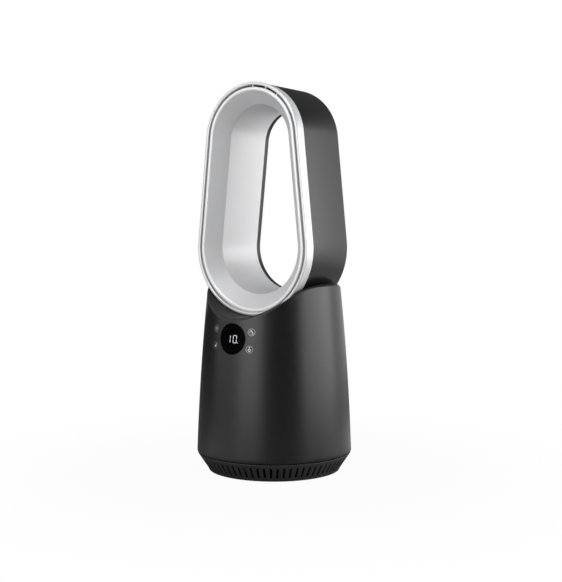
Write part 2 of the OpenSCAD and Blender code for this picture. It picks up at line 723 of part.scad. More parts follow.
module motor_case() color(steel) difference() {
    translate([0, 0, motor_z]) cylinder(r = motor_r, h = motor_h);
    translate([0, 0, motor_z + bearing_h]) cylinder(r = motor_r - can_wall, h = motor_h - 2 * bearing_h);
    translate([0, 0, motor_z - 1]) cylinder(r = bearing_r + fit_gap, h = motor_h + 2);
    at_motor_screws(motor_z - 1) cylinder(r = screw_r, h = bearing_h);
}
module motor_bearings() color("silver")
    for (z = [motor_z, motor_top - bearing_h])
        translate([0, 0, z]) tube(bearing_r, shaft_r + run_gap, bearing_h);
module motor_stator() color(copper) difference() {
    inner = 15.5;
    translate([0, 0, motor_z + bearing_h + 1])
        tube(motor_r - can_wall - fit_gap, inner, motor_h - 2 * bearing_h - 2);
    around(9) translate([inner + 3.5, 0, motor_z]) cylinder(r = 2, h = motor_h);
}
module motor_rotor() color(dark)
    translate([0, 0, motor_z + bearing_h + 1]) tube(15, shaft_r + fit_gap, motor_h - 2 * bearing_h - 2);
module motor_shaft() color("silver")
    translate([0, 0, impeller_z - 4]) cylinder(r = shaft_r, h = motor_top - impeller_z + 3.5);
module motor_screws() color(steel) at_motor_screws(bucket_z) screw(bucket_wall + 3);

module impeller() color(light) difference() {
    union() {
        rotate_extrude() polygon(concat(
            [[0, impeller_z], [root_line_r[0] - 2, impeller_z]],
            [for (i = [0 : 8]) [mix(root_line_r, i / 8), mix(root_line_z, i / 8)]],
            [[0, impeller_top]]));
        around(blade_count)
            blade([root_line_r[0] - 1, root_line_r[1] - 1, root_line_r[2]],
                [root_line_z[0] + 1, root_line_z[1] - 0.5, 1],
                tip_line_r, tip_line_z, 50, 1.8, 7);
    }
    translate([0, 0, impeller_z - 1]) cylinder(r = shaft_r + fit_gap, h = impeller_h + 2);
    translate([0, 0, impeller_z + 14]) difference() {
        cylinder(r1 = 14, r2 = root_line_r[1] - 3, h = impeller_h - 14 + eps);
        translate([0, 0, -1]) cylinder(r = shaft_r + 4, h = impeller_h);
    }
}
module impeller_nut() color(brass)
    translate([0, 0, impeller_z - 3.5]) difference() {
        cylinder(r = 6.5, h = 3.5, $fn = 6);
        translate([0, 0, -1]) cylinder(r = shaft_r + fit_gap, h = 6);
    }

// Heater and neck

frame_r = casing_r + shroud_wall;
tray_z = heater_z + 4;
tray_t = 2.5;
element_z = tray_z + tray_t;
box_wall = 2;

module slab(w, d, z, h) translate([-w / 2, -d / 2, z]) cube([w, d, h]);

module heater_frame() color(white) difference() {
    union() {
        translate([0, 0, heater_z]) tube(frame_r, frame_r - frame_wall, heater_h);
        translate([0, 0, tray_z]) cylinder(r = frame_r - 1, h = tray_t);
        slab(element_w + 2 * (seat_gap + box_wall), element_d + 2 * (seat_gap + box_wall),
            tray_z, element_h + tray_t);
    }
    slab(element_w + 2 * seat_gap, element_d + 2 * seat_gap, element_z, element_h + 1);
    slab(element_w - 4, element_d - 4, tray_z - 1, tray_t + 2);
}
module heating_element() color("silver") {
    bar_t = 3;
    fins = floor((element_w - 2) / fin_pitch);
    for (i = [0 : bar_count - 1])
        translate([-element_w / 2, -element_d / 2 + (element_d - bar_t) * i / (bar_count - 1), element_z])
            cube([element_w, bar_t, element_h]);
    for (i = [0 : fins])
        translate([-element_w / 2 + 1 + i * (element_w - 2.6) / fins, -element_d / 2, element_z + 1])
            cube([0.6, element_d, element_h - 2]);
}
module thermal_cutout() color(steel)
    translate([0, element_d / 2 + box_wall + 9, element_z]) {
        cylinder(r = 6.5, h = 4);
        translate([-8, -1, 1]) cube([16, 2, 1]);
    }

module neck_duct() color(white) {
    low = heater_top;
    wide = collar_r + seal_gap + 2;
    bend = 8;
    rotate_extrude() polygon(concat(
        [[frame_r, low], [frame_r, low + 5]],
        arc([wide + bend, socket_z + 1], bend, -120, -180),
        [[wide, socket_top], [wide - 2, socket_top], [wide - 2, socket_z], [neck_r, socket_z]],
        arc([wide + bend, socket_z - 1], bend + 3.5, -180, -120),
        [[frame_r - 2.2, low + 4], [frame_r - 2.2, low]]));
}
module neck_seal() color(rubber)
    translate([0, 0, socket_z + 2]) tube(collar_r + seal_gap - fit_gap, collar_r + fit_gap, 3);
module union_nut() color(dark) difference() {
    translate([0, 0, nut_z]) tube(neck_hole_r + boss_wall, collar_r + fit_gap, union_nut_h + seat_gap);
    around(12) translate([neck_hole_r + boss_wall + 1, 0, nut_z - 1]) cylinder(r = 3, h = union_nut_h + 3);
}

// Supply electronics at the rear

power_y = stand_at + 2;
power_w = 80;
power_h = 90;
power_z = deck_top + 4;
rail_w = 6;
rail_d = 8;
rail_t = 3;
board_u = power_w / 80;

module board_bracket() color(dark) difference() {
    foot_y = power_y - rail_d / 2 + 1;
    union() {
        translate([-power_w / 2 - rail_w + 2, foot_y, deck_top])
            cube([power_w + 2 * rail_w - 4, rail_d, rail_t]);
        for (side = [-1, 1]) translate([side * (power_w / 2 + 1) - rail_w / 2, foot_y, deck_top])
            cube([rail_w, rail_d, power_z - deck_top + power_h + 4]);
    }
    translate([-power_w / 2 - 0.1, power_y - fit_gap, power_z])
        cube([power_w + 0.2, board_t + 2 * fit_gap, power_h + 10]);
}

// A block on the power board: x and z from its lower middle in eightieths of its width, then its sizes
module on_board(x, z, w, d, h)
    translate([x * board_u, power_y - d * board_u, power_z + z * board_u])
        cube([w * board_u, d * board_u + eps, h * board_u]);
module power_board() color(green) {
    translate([-power_w / 2, power_y, power_z]) cube([power_w, board_t, power_h]);
    for (x = [-22, -8]) translate([x * board_u, power_y + eps, power_z + 14 * board_u]) rotate([90, 0, 0])
        cylinder(r = 6 * board_u, h = 9 * board_u);
    on_board(4, 8, 18, 9, 16);
    on_board(-26, 34, 14, 6, 18);
    for (x = [10, 14, 18, 22]) on_board(x, 32, 1.5, 6, 24);
    on_board(9, 31, 16, 2, 26);
}

// Control panel

board_w = panel_w - 8;
carrier_back_r = wall_r(display_z + panel_h / 2) - tower_wall - carrier_t;
board_y = sqrt(pow(carrier_back_r, 2) - pow(board_w / 2, 2)) - seat_gap;

module panel_block(w, h, y0, y1)
    translate([-w / 2, -y1, display_z - h / 2]) cube([w, y1 - y0, h]);
module at_keys()
    for (x = [-key_x, key_x], z = [-key_rise, key_rise])
        translate([x, 0, display_z + z]) rotate([90, 0, 0]) children();
module behind_wall(d)
    rotate_extrude(angle = 80, start = 230) polygon(concat(
        [[20, display_z - panel_h]], wall_line(display_z - panel_h, display_z + panel_h / 2 + 2, d, 3),
        [[20, display_z + panel_h / 2 + 2]]));

module display_lens() color(black) intersection() {
    wall_skin(display_z - panel_h / 2, display_z + panel_h / 2, 0, tower_wall);
    translate([0, -panel_back, display_z]) rotate([90, 0, 0]) cylinder(r = display_r, h = panel_back);
}
module panel_carrier() color(dark) difference() {
    union() {
        intersection() {
            wall_skin(display_z - panel_h / 2, display_z + panel_h / 2,
                tower_wall + seat_gap, tower_wall + carrier_t);
            panel_block(panel_w, panel_h, panel_back, tower_r);
        }
        intersection() {
            behind_wall(tower_wall + 0.6);
            at_board_posts() cylinder(r = 2.6, h = 30);
        }
    }
    translate([0, -panel_back, display_z]) rotate([90, 0, 0]) cylinder(r = display_r - 2, h = panel_back);
}
module at_board_posts()
    for (x = [-1, 1], z = [-1, 1])
        translate([x * (panel_w / 2 - 6), -board_y, display_z + z * (panel_h / 2 - 4)])
            rotate([90, 0, 0]) children();
module control_board() color(green) {
    panel_block(board_w, panel_h - 2, board_y - board_t, board_y);
    panel_block(26, 16, board_y - eps, wall_r(display_z + 8) - tower_wall - 1);
    translate([12, 0, -12]) panel_block(16, 8, board_y - board_t - 5, board_y - board_t + eps);
    translate([-16, 0, -10]) panel_block(12, 12, board_y - board_t - 1.5, board_y - board_t + eps);
}
module touch_springs() color(steel) {
    r = 4.5;
    back_r = wall_r(display_z + key_rise) - tower_wall - carrier_t;
    at_keys() translate([0, 0, board_y])
        cylinder(r = r, h = sqrt(pow(back_r, 2) - pow(key_x + r, 2)) - board_y - fit_gap);
}

// Air loop

lip_in = slot_half + lip_w;
lip_round = 1.3;
loop_fit = 2 * fit_gap;

module loop_shell() color(charcoal) difference() {
    inner_r = loop_low_r + rear_out - loop_wall;
    collar_top = loop_low_z - sqrt(pow(inner_r, 2) - pow(collar_r, 2)) + 0.5;
    bend_c = [rear_out - rear_round, rear_round - loop_back];
    tongue_x = loop_wall - duct_in + loop_fit;
    union() {
        round_loop(concat(
            [[band_back_out, band_back], [band_back_out - loop_wall, band_back]],
            arc(bend_c, rear_round - loop_wall, 0, -90),
            [[tongue_x + tongue_t, loop_wall - loop_back], [tongue_x + tongue_t, duct_end_f + tongue_l],
                [tongue_x + tongue_lead, duct_end_f + tongue_l], [tongue_x, duct_end_f - loop_fit],
                [-duct_in, duct_end_f - loop_fit]],
            arc([lip_round - duct_in, lip_round - loop_back], lip_round, 180, 270, 3),
            arc(bend_c, rear_round, -90, 0)));
        translate([0, 0, socket_z + 1]) cylinder(r = collar_r, h = collar_top - socket_z - 1);
    }
    translate([0, 0, socket_z]) cylinder(r = neck_r, h = collar_top - socket_z + 3);
}

module loop_band() color(silver) {
    edge = 2.2;
    tongue_x = band_back_out - loop_wall - loop_fit;
    round_loop(concat(
        [[band_back_out, band_back + loop_fit]],
        arc([band_out - edge, loop_front - edge], edge, 0, 90),
        arc([slot_half + lip_round, loop_front - lip_round], lip_round, 90, 180, 4),
        [[slot_half, band_back + 8], [tongue_x - tongue_t, band_back + 3],
            [tongue_x - tongue_t, band_back - tongue_l], [tongue_x, band_back - tongue_l],
            [tongue_x, band_back + loop_fit]]));
}

module loop_duct() color(light) {
    funnel = atan2(loop_front - lip_round - crease_f, funnel_in - lip_in);
    back = loop_wall * [sin(funnel), -cos(funnel)];
    round_loop(concat(
        arc([-slot_half - lip_round, loop_front - lip_round], lip_round, 0, 90, 4),
        arc([lip_round - lip_in, loop_front - lip_round], lip_round, 90, 180, 4),
        [[-funnel_in, crease_f], [-duct_in, duct_end_f], [loop_wall - duct_in, duct_end_f],
            [-funnel_in, crease_f] + back + [0, -0.6],
            [-lip_in, loop_front - lip_round] + back,
            [-slot_half - loop_wall, loop_front - 12], [-slot_half, loop_front - 12]]));
    along_slot() translate([-slot_half - 0.3, -rib_w / 2, loop_front - 1.2 - rib_depth])
        cube([air_slot + 0.3 - loop_fit, rib_w, rib_depth]);
}

base_plate();
base_ring();
rubber_feet();
base_screws();
sun_gear();
thrust_washer();
glide_pads();
retainer_plate();
retainer_screws();
tip_switch();
tip_spring();
cord_gland();
tip_plunger();
turntable();
housing();
tower_screws();
sweep_motor();
sweep_motor_screws();
rubber_mounts();
mount_screws();
fan_shroud();
diffuser();
motor_case();
motor_stator();
motor_bearings();
motor_screws();
heater_frame();
heating_element();
thermal_cutout();
neck_duct();
neck_seal();
union_nut();
power_board();
board_bracket();
display_lens();
panel_carrier();
control_board();
touch_springs();
loop_shell();
loop_band();
loop_duct();
impeller();
motor_shaft();
motor_rotor();
impeller_nut();
drive_pinion();
pinion_shaft();
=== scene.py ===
import math
import bmesh
import bpy
import numpy as np
from mathutils import Matrix, Vector


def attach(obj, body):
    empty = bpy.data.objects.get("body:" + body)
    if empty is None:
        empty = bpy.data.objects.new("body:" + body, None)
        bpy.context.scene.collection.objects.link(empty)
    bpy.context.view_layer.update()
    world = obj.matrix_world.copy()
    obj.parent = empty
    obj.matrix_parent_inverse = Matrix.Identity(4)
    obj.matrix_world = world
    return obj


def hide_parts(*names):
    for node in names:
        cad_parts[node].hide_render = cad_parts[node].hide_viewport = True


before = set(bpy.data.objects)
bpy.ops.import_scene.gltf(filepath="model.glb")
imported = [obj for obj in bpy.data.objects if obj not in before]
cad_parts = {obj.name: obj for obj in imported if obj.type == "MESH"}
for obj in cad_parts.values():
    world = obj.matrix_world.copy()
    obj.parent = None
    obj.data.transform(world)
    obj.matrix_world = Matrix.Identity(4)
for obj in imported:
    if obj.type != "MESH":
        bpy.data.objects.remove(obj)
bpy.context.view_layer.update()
scene = bpy.context.scene
mm = 0.001
print("frame loaded:", len(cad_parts), "nodes")


# Camera: it stands to the right of the front, a little above the loop's middle
view = {
    "azimuth": 35.058,  # degrees from the front (-Y) towards +X
    "distance": 1577.81,  # mm from the tower's axis
    "height": 346.08,  # mm above the floor
    "pitch": 3.332,  # degrees down
    "yaw": 0.349,  # degrees to the right of the axis
    "focal": 1111.06,  # in pixels of the photograph
    "imageHeight": 582,
    "sensor": 36,
}


def addCamera():
    a, pitch, yaw = (math.radians(view[k]) for k in ("azimuth", "pitch", "yaw"))
    across = Vector((math.cos(a), math.sin(a), 0))
    ahead = Vector((-math.sin(a), math.cos(a), 0)) * math.cos(yaw) + across * math.sin(yaw)
    right = ahead.cross(Vector((0, 0, 1)))
    look = ahead * math.cos(pitch) - Vector((0, 0, 1)) * math.sin(pitch)
    up = right.cross(look)
    place = Vector((math.sin(a), -math.cos(a), 0)) * view["distance"] + Vector((0, 0, view["height"]))
    camera = bpy.data.objects.new("camera", bpy.data.cameras.new("camera"))
    scene.collection.objects.link(camera)
    camera.matrix_world = Matrix.Translation(place * mm) @ Matrix((right, up, -look)).transposed().to_4x4()
    camera.data.sensor_fit = "VERTICAL"
    camera.data.sensor_height = view["sensor"]
    camera.data.lens = view["focal"] * view["sensor"] / view["imageHeight"]
    camera.data.clip_end = 50
    scene.camera = camera


addCamera()


# Shader nodes: a value that is the output of another node is linked, any other value is set on the socket
def setInputs(tree, node, inputs):
    for socket, value in inputs.items():
        if isinstance(value, bpy.types.NodeSocket):
            tree.links.new(value, node.inputs[socket])
        else:
            node.inputs[socket].default_value = value


def shaderNode(tree, kind, inputs=None, **settings):
    node = tree.nodes.new("ShaderNode" + kind)
    for name, value in settings.items():
        setattr(node, name, value)
    setInputs(tree, node, inputs or {})
    return node


def mapRange(tree, value, source, target=(0, 1), kind="SMOOTHSTEP"):
    # goes from the first number of target to the second while value goes through source
    return shaderNode(tree, "MapRange", {
        "Value": value, "From Min": source[0], "From Max": source[1], "To Min": target[0], "To Max": target[1],
    }, interpolation_type=kind).outputs["Result"]


def combine(tree, operation, first, second):
    return shaderNode(tree, "Math", {0: first, 1: second}, operation=operation).outputs["Value"]


def towards(tree, vector, direction):
    # how far a vector reaches in a level direction
    return shaderNode(tree, "VectorMath", {0: vector, 1: (*direction, 0)}, operation="DOT_PRODUCT").outputs["Value"]


# Studio: soft boxes and gloss cards round the object, a white sweep behind it and a pale floor; in metres
studio = {
    "boxes": {  # direction in degrees from +X, distance, width and height of the box, middle's height, watts
        "right": (18, 1.5, 1.8, 0.84, 0.38, 13.4),
        "left": (-92, 1.6, 1.1, 1.5, 0.65, 15),
        "upperRight": (28, 1.5, 1.8, 0.55, 0.66, 3.6),
        "farLeft": (-134, 1.6, 1.35, 1.0, 0.50, 3.6),
        "upperLeft": (-140, 1.5, 1.6, 2.2, 1.62, 6.6),
        "rearLeft": (162, 1.5, 1.6, 2.0, 1.6, 6.2),
        "key": (-45, 0.65, 1.5, 1.7, 2.1, 15.5),
        "fill": (66, 1.8, 1.0, 0.8, 0.42, 19),
    },
    "aim": (0, 0, 0.3),  # every box looks at this point
    "glossOnly": ("farLeft", "upperLeft", "rearLeft"),  # cards that only show in the gloss
    "lightOnly": ("fill",),  # the sweep's own light: in the gloss the world shows it
    "room": (0.97, 0.985, 1, 1),  # colour of the dim room round the boxes
    "shade": 0.045,  # and what it sends from everywhere
    "sweep": (0.35, 0.94),  # the white sweep lies towards this direction
    "sweepEdge": (0.45, 0.92),  # cosines between which it comes up
    "sweepTop": 0.6,  # and fades out up to this height, as the sine of its angle above the floor
    "floorHalf": 30,
    "floor": 0.32,  # grey of the floor
    "floorWhite": 0.965,  # how much of the floor near the foot is already the white of the sweep
    "floorFade": (0.13, 0.6),  # radii between which the floor goes over into the white
    "floorSweep": (0.7, 2.2),  # in reflections the floor is white from here on towards the sweep
    "floorShine": (0.57, 0.82),  # and shines near the foot on this side and the opposite one, under the boxes
    "shineStrength": 0.78,
    "shineEdge": (0.58, -0.74),  # cosines at which the glow begins on this side and on the opposite one
    "shineStart": (0.15, 0.28),  # radii between which it comes up, and those between which it fades again
    "shineFade": (0.42, 0.7),
}


def addSoftBoxes():
    for name, (turn, far, width, height, z, watts) in studio["boxes"].items():
        t = math.radians(turn)
        lamp = bpy.data.lights.new(name + "SoftBox", "AREA")
        lamp.shape = "RECTANGLE"
        lamp.size, lamp.size_y, lamp.energy = width, height, watts
        box = bpy.data.objects.new(name + "SoftBox", lamp)
        scene.collection.objects.link(box)
        place = Vector((far * math.cos(t), far * math.sin(t), z))
        box.location = place
        box.rotation_euler = (Vector(studio["aim"]) - place).to_track_quat("-Z", "Y").to_euler()
        box.visible_camera = False
        box.visible_glossy = name not in studio["lightOnly"]
        box.visible_diffuse = name not in studio["glossOnly"]


def addWorld():
    # dim for light that falls on the object, white for what the camera sees; in reflections it is white towards
    # the sweep: its cosine's soft step times one that falls with the height
    world = bpy.data.worlds.new("studio")
    scene.world = world
    world.use_nodes = True
    tree = world.node_tree
    tree.nodes.clear()
    rays = shaderNode(tree, "LightPath").outputs
    direction = shaderNode(tree, "TexCoord").outputs["Generated"]
    height = shaderNode(tree, "SeparateXYZ", {0: direction}).outputs["Z"]
    beside = mapRange(tree, towards(tree, direction, studio["sweep"]), studio["sweepEdge"])
    sweep = combine(tree, "MULTIPLY", beside, mapRange(tree, height, (0, studio["sweepTop"]), (1, 0)))
    glossy = combine(tree, "MULTIPLY", sweep, rays["Is Glossy Ray"])
    seen = combine(tree, "MAXIMUM", rays["Is Camera Ray"], rays["Is Transmission Ray"])
    room = shaderNode(tree, "Background", {"Color": studio["room"], "Strength": studio["shade"]})
    white = shaderNode(tree, "Background", {"Color": (1, 1, 1, 1)})
    mix = shaderNode(tree, "MixShader", {
        "Fac": combine(tree, "MAXIMUM", seen, glossy), 1: room.outputs["Background"], 2: white.outputs["Background"],
    })
    shaderNode(tree, "OutputWorld", {"Surface": mix.outputs["Shader"]})


def addFloor():
    mesh = bpy.data.meshes.new("floor")
    half = studio["floorHalf"]
    mesh.from_pydata([(-half, -half, 0), (half, -half, 0), (half, half, 0), (-half, half, 0)], [], [(0, 1, 2, 3)])
    floor = bpy.data.objects.new("floor", mesh)
    scene.collection.objects.link(floor)
    material = bpy.data.materials.new("floorWhite")
    material.use_nodes = True
    tree = material.node_tree
    tree.nodes.clear()
    rays = shaderNode(tree, "LightPath").outputs
    place = shaderNode(tree, "TexCoord").outputs["Object"]
    far = shaderNode(tree, "VectorMath", {0: place}, operation="LENGTH").outputs["Value"]

    # the camera sees it go over into white with the radius
    fade = mapRange(tree, far, studio["floorFade"], (studio["floorWhite"], 1))
    seen = combine(tree, "MULTIPLY", fade, rays["Is Camera Ray"])

    # reflections show a ring of shine on two sides: the soft step of each side's cosine, times one that comes up
    # and one that fades with the radius; further off they show the white of the sweep
    bearing = shaderNode(tree, "VectorMath", {0: place}, operation="NORMALIZE").outputs["Vector"]
    side = towards(tree, bearing, studio["floorShine"])
    lobes = [mapRange(tree, side, (edge, full)) for edge, full in zip(studio["shineEdge"], (1, -1))]
    shine = combine(tree, "MULTIPLY", combine(tree, "MAXIMUM", *lobes), mapRange(tree, far, studio["shineStart"]))
    near = mapRange(tree, far, studio["shineFade"], (studio["shineStrength"], 0))
    shine = combine(tree, "MULTIPLY", shine, near)
    behind = mapRange(tree, towards(tree, place, studio["sweep"]), studio["floorSweep"])
    glossy = combine(tree, "MULTIPLY", combine(tree, "MAXIMUM", shine, behind), rays["Is Glossy Ray"])

    grey = studio["floor"]
    matt = shaderNode(tree, "BsdfDiffuse", {"Color": (grey, grey, grey, 1)})
    glow = shaderNode(tree, "Emission")
    mix = shaderNode(tree, "MixShader", {
        "Fac": combine(tree, "MAXIMUM", seen, glossy), 1: matt.outputs["BSDF"], 2: glow.outputs["Emission"],
    })
    shaderNode(tree, "OutputMaterial", {"Surface": mix.outputs["Shader"]})
    mesh.materials.append(material)


addSoftBoxes()
addWorld()
addFloor()
scene.view_settings.view_transform = "Standard"
print("camera and studio ready")


# Materials: each finish is one dictionary; scales are in cycles per metre, depths in metres
finishes = {
    "charcoalSatin": {
        "colour": (0.0066, 0.0066, 0.0072), "tone": 0.10, "toneScale": 9,
        "roughness": (0.31, 0.36), "specular": 0.5, "grainScale": 2600, "grainDepth": 0.000011,
    },
    "charcoalRing": {
        "colour": (0.0245, 0.0245, 0.0255), "tone": 0.12, "toneScale": 14,
        "roughness": (0.46, 0.56), "specular": 0.45, "grainScale": 2300, "grainDepth": 0.000016,
    },
    "silverPaint": {
        "colour": (0.85, 0.85, 0.855), "tone": 0.02, "toneScale": 12, "metal": 0.38,
        "roughness": (0.28, 0.34), "specular": 0.5, "grainScale": 4200, "grainDepth": 0.000004,
    },
    "ductSilver": {
        "colour": (0.75, 0.75, 0.76), "tone": 0.03, "toneScale": 8, "metal": 0.1,
        "roughness": (0.36, 0.43), "specular": 0.5, "grainScale": 3600, "grainDepth": 0.000005,
    },
    "smokedLens": {
        "colour": (0.0010, 0.0010, 0.0009), "tone": 0.2, "toneScale": 40,
        "roughness": (0.20, 0.28), "specular": 0.012, "grainScale": 300, "grainDepth": 0.0000006,
    },
    "printInk": {
        "colour": (0.72, 0.73, 0.75), "tone": 0.10, "toneScale": 900,
        "roughness": (0.50, 0.62), "specular": 0.3, "grainScale": 6000, "grainDepth": 0.000004,
    },
    "fadedInk": {
        "colour": (0.27, 0.27, 0.28), "tone": 0.10, "toneScale": 900,
        "roughness": (0.50, 0.62), "specular": 0.3, "grainScale": 6000, "grainDepth": 0.000004,
    },
    "darkPlastic": {
        "colour": (0.024, 0.024, 0.026), "tone": 0.08, "toneScale": 30,
        "roughness": (0.50, 0.56), "specular": 0.45, "grainScale": 1500, "grainDepth": 0.00002,
    },
    "whitePlastic": {
        "colour": (0.78, 0.78, 0.76), "tone": 0.05, "toneScale": 25,
        "roughness": (0.35, 0.48), "specular": 0.5, "grainScale": 1800, "grainDepth": 0.00001,
    },
    "rubber": {
        "colour": (0.013, 0.013, 0.0135), "tone": 0.25, "toneScale": 60,
        "roughness": (0.72, 0.88), "specular": 0.3, "grainScale": 1200, "grainDepth": 0.00003,
    },
    "steel": {
        "colour": (0.56, 0.57, 0.58), "tone": 0.12, "toneScale": 80, "metal": 1.0,
        "roughness": (0.26, 0.42), "specular": 0.5, "grainScale": 2500, "grainDepth": 0.000008,
    },
    "brass": {
        "colour": (0.72, 0.53, 0.24), "tone": 0.15, "toneScale": 90, "metal": 1.0,
        "roughness": (0.25, 0.40), "specular": 0.5, "grainScale": 2500, "grainDepth": 0.000006,
    },
    "circuitBoard": {
        "colour": (0.012, 0.085, 0.035), "tone": 0.35, "toneScale": 420,
        "roughness": (0.30, 0.45), "specular": 0.5, "grainScale": 900, "grainDepth": 0.00002,
    },
}


grain = {
    "toneDetail": 3, "glossDetail": 4, "grainDetail": 2,
    "coarser": 18,  # the roughness changes this many times more slowly than the grain
    "range": (0.3, 0.7),  # values of its noise that give the lower and the higher roughness
}


def mixColour(tree, share, first, second):
    # first and second are colours or the outputs of nodes
    colours = {k: v if isinstance(v, bpy.types.NodeSocket) else (*v, 1) for k, v in (("A", first), ("B", second))}
    return shaderNode(tree, "Mix", {"Factor": share, **colours}, data_type="RGBA").outputs["Result"]


def finishMaterial(name, finish=None):
    # colour is the base colour times a slow tone change; roughness follows a middle noise; bump is a fine grain
    f = finishes[finish or name]
    material = bpy.data.materials.new(name)
    material.use_nodes = True
    tree = material.node_tree
    place = shaderNode(tree, "TexCoord").outputs["Object"]

    def noise(scale, detail):
        return shaderNode(tree, "TexNoise", {"Vector": place, "Scale": scale, "Detail": detail}).outputs["Fac"]

    darker, lighter = ([min(1, c * tone) for c in f["colour"]] for tone in (1 - f["tone"], 1 + f["tone"]))
    gloss = noise(f["grainScale"] / grain["coarser"], grain["glossDetail"])
    bump = shaderNode(tree, "Bump", {
        "Height": noise(f["grainScale"], grain["grainDetail"]), "Distance": f["grainDepth"], "Strength": 1,
    })
    setInputs(tree, tree.nodes["Principled BSDF"], {
        "Base Color": mixColour(tree, noise(f["toneScale"], grain["toneDetail"]), darker, lighter),
        "Roughness": mapRange(tree, gloss, grain["range"], f["roughness"], "LINEAR"),
        "Normal": bump.outputs["Normal"],
        "Metallic": f.get("metal", 0),
        "Specular IOR Level": f["specular"],
    })
    return material


def fedBy(material, socket):
    # the output that already feeds a socket of the surface
    return material.node_tree.nodes["Principled BSDF"].inputs[socket].links[0].from_socket


materials = {name: finishMaterial(name) for name in finishes}
materials["unlitBars"] = finishMaterial("unlitBars", "smokedLens")
digitGlow = {
    "colour": (0.90, 0.93, 1.0), "strength": 0.95, "unevenness": 0.15, "scale": 500,
    "behind": (0.01, 0.01, 0.01), "roughness": 0.3,
}


def glowMaterial():
    # a lamp behind each bar: the glow is a little weaker where a slow noise is low
    g = digitGlow
    material = bpy.data.materials.new("digitGlow")
    material.use_nodes = True
    tree = material.node_tree
    place = shaderNode(tree, "TexCoord").outputs["Object"]
    noise = shaderNode(tree, "TexNoise", {"Vector": place, "Scale": g["scale"]}).outputs["Fac"]
    setInputs(tree, tree.nodes["Principled BSDF"], {
        "Emission Color": mixColour(tree, noise, [c * (1 - g["unevenness"]) for c in g["colour"]], g["colour"]),
        "Emission Strength": g["strength"],
        "Base Color": (*g["behind"], 1),
        "Roughness": g["roughness"],
    })
    return material


copper = {"dark": (0.35, 0.11, 0.035), "light": (0.72, 0.30, 0.13), "scale": 320, "distortion": 1.5}


def copperMaterial():
    # enamelled wire: fine bands round the coils, from a wave of the height
    material = finishMaterial("copperWire", "brass")
    tree = material.node_tree
    wave = shaderNode(tree, "TexWave", {
        "Vector": tree.nodes["Texture Coordinate"].outputs["Object"],
        "Scale": copper["scale"], "Distortion": copper["distortion"],
    }, bands_direction="Z")
    bands = mixColour(tree, wave.outputs["Fac"], copper["dark"], copper["light"])
    setInputs(tree, tree.nodes["Principled BSDF"], {"Base Color": bands})
    return material


materials["digitGlow"] = glowMaterial()
materials["copperWire"] = copperMaterial()
mattTop = {"finish": "charcoalSatin", "roughness": 0.62, "from": (0.35, 0.8)}  # from: heights of the normal


def roughenTop():
    # faces that look up are rougher: the roughness goes over to the given one with the normal's height
    material = materials[mattTop["finish"]]
    tree = material.node_tree
    normal = shaderNode(tree, "NewGeometry").outputs["Normal"]
    height = shaderNode(tree, "SeparateXYZ", {0: normal}).outputs["Z"]
    mix = shaderNode(tree, "Mix", {
        "Factor": mapRange(tree, height, mattTop["from"]),
        "A": fedBy(material, "Roughness"), "B": mattTop["roughness"],
    })
    setInputs(tree, tree.nodes["Principled BSDF"], {"Roughness": mix.outputs["Result"]})


# painted highlight on the duct's front edge: a lighter colour stands in for the light its front face catches; its
# metal is raised too
lip = {"finish": "ductSilver", "colour": (0.95, 0.95, 0.955), "metal": (0.1, 0.4), "from": (-0.0547, -0.0560)}


def paintLipHighlight():
    # painted highlight: the duct's front edge is painted lighter and is also made more metallic; both go over with Y,
    # just behind the lip's front
    material = materials[lip["finish"]]
    tree = material.node_tree
    place = tree.nodes["Texture Coordinate"].outputs["Object"]
    share = mapRange(tree, shaderNode(tree, "SeparateXYZ", {0: place}).outputs["Y"], lip["from"])
    setInputs(tree, tree.nodes["Principled BSDF"], {
        "Base Color": mixColour(tree, share, fedBy(material, "Base Color"), lip["colour"]),
        "Metallic": mapRange(tree, share, (0, 1), lip["metal"], "LINEAR"),
    })


roughenTop()
paintLipHighlight()
print("materials ready:", len(materials))


# Meshes: every piece is made of grids of quads; grids that share an edge are welded by place
def gridQuads(rows, columns, closeRows=False, closeColumns=False):
    # quad (i, j) joins the points (i, j), (i+1, j), (i+1, j+1), (i, j+1)
    i = np.arange(rows if closeRows else rows - 1)[:, None]
    j = np.arange(columns if closeColumns else columns - 1)[None, :]
    i2, j2 = (i + 1) % rows, (j + 1) % columns
    quads = [i * columns + j, i2 * columns + j, i2 * columns + j2, i * columns + j2]
    return np.stack([np.broadcast_to(q, (i.shape[0], j.shape[1])).ravel() for q in quads], axis=1)


def gridPart(points, closeRows=False, closeColumns=False):
    # points is rows x columns x 3
    rows, columns = points.shape[:2]
    return points.reshape(-1, 3), gridQuads(rows, columns, closeRows, closeColumns)


def joinParts(parts):
    # each part's quads count on from the points of the parts before it
    shift = np.cumsum([0] + [len(p) for p, _ in parts[:-1]])
    return np.concatenate([p for p, _ in parts]), np.concatenate([q + s for (_, q), s in zip(parts, shift)])


meshing = {"decimals": 4, "sharp": 35}  # decimals of a mm to which equal points agree; degrees of a sharp edge


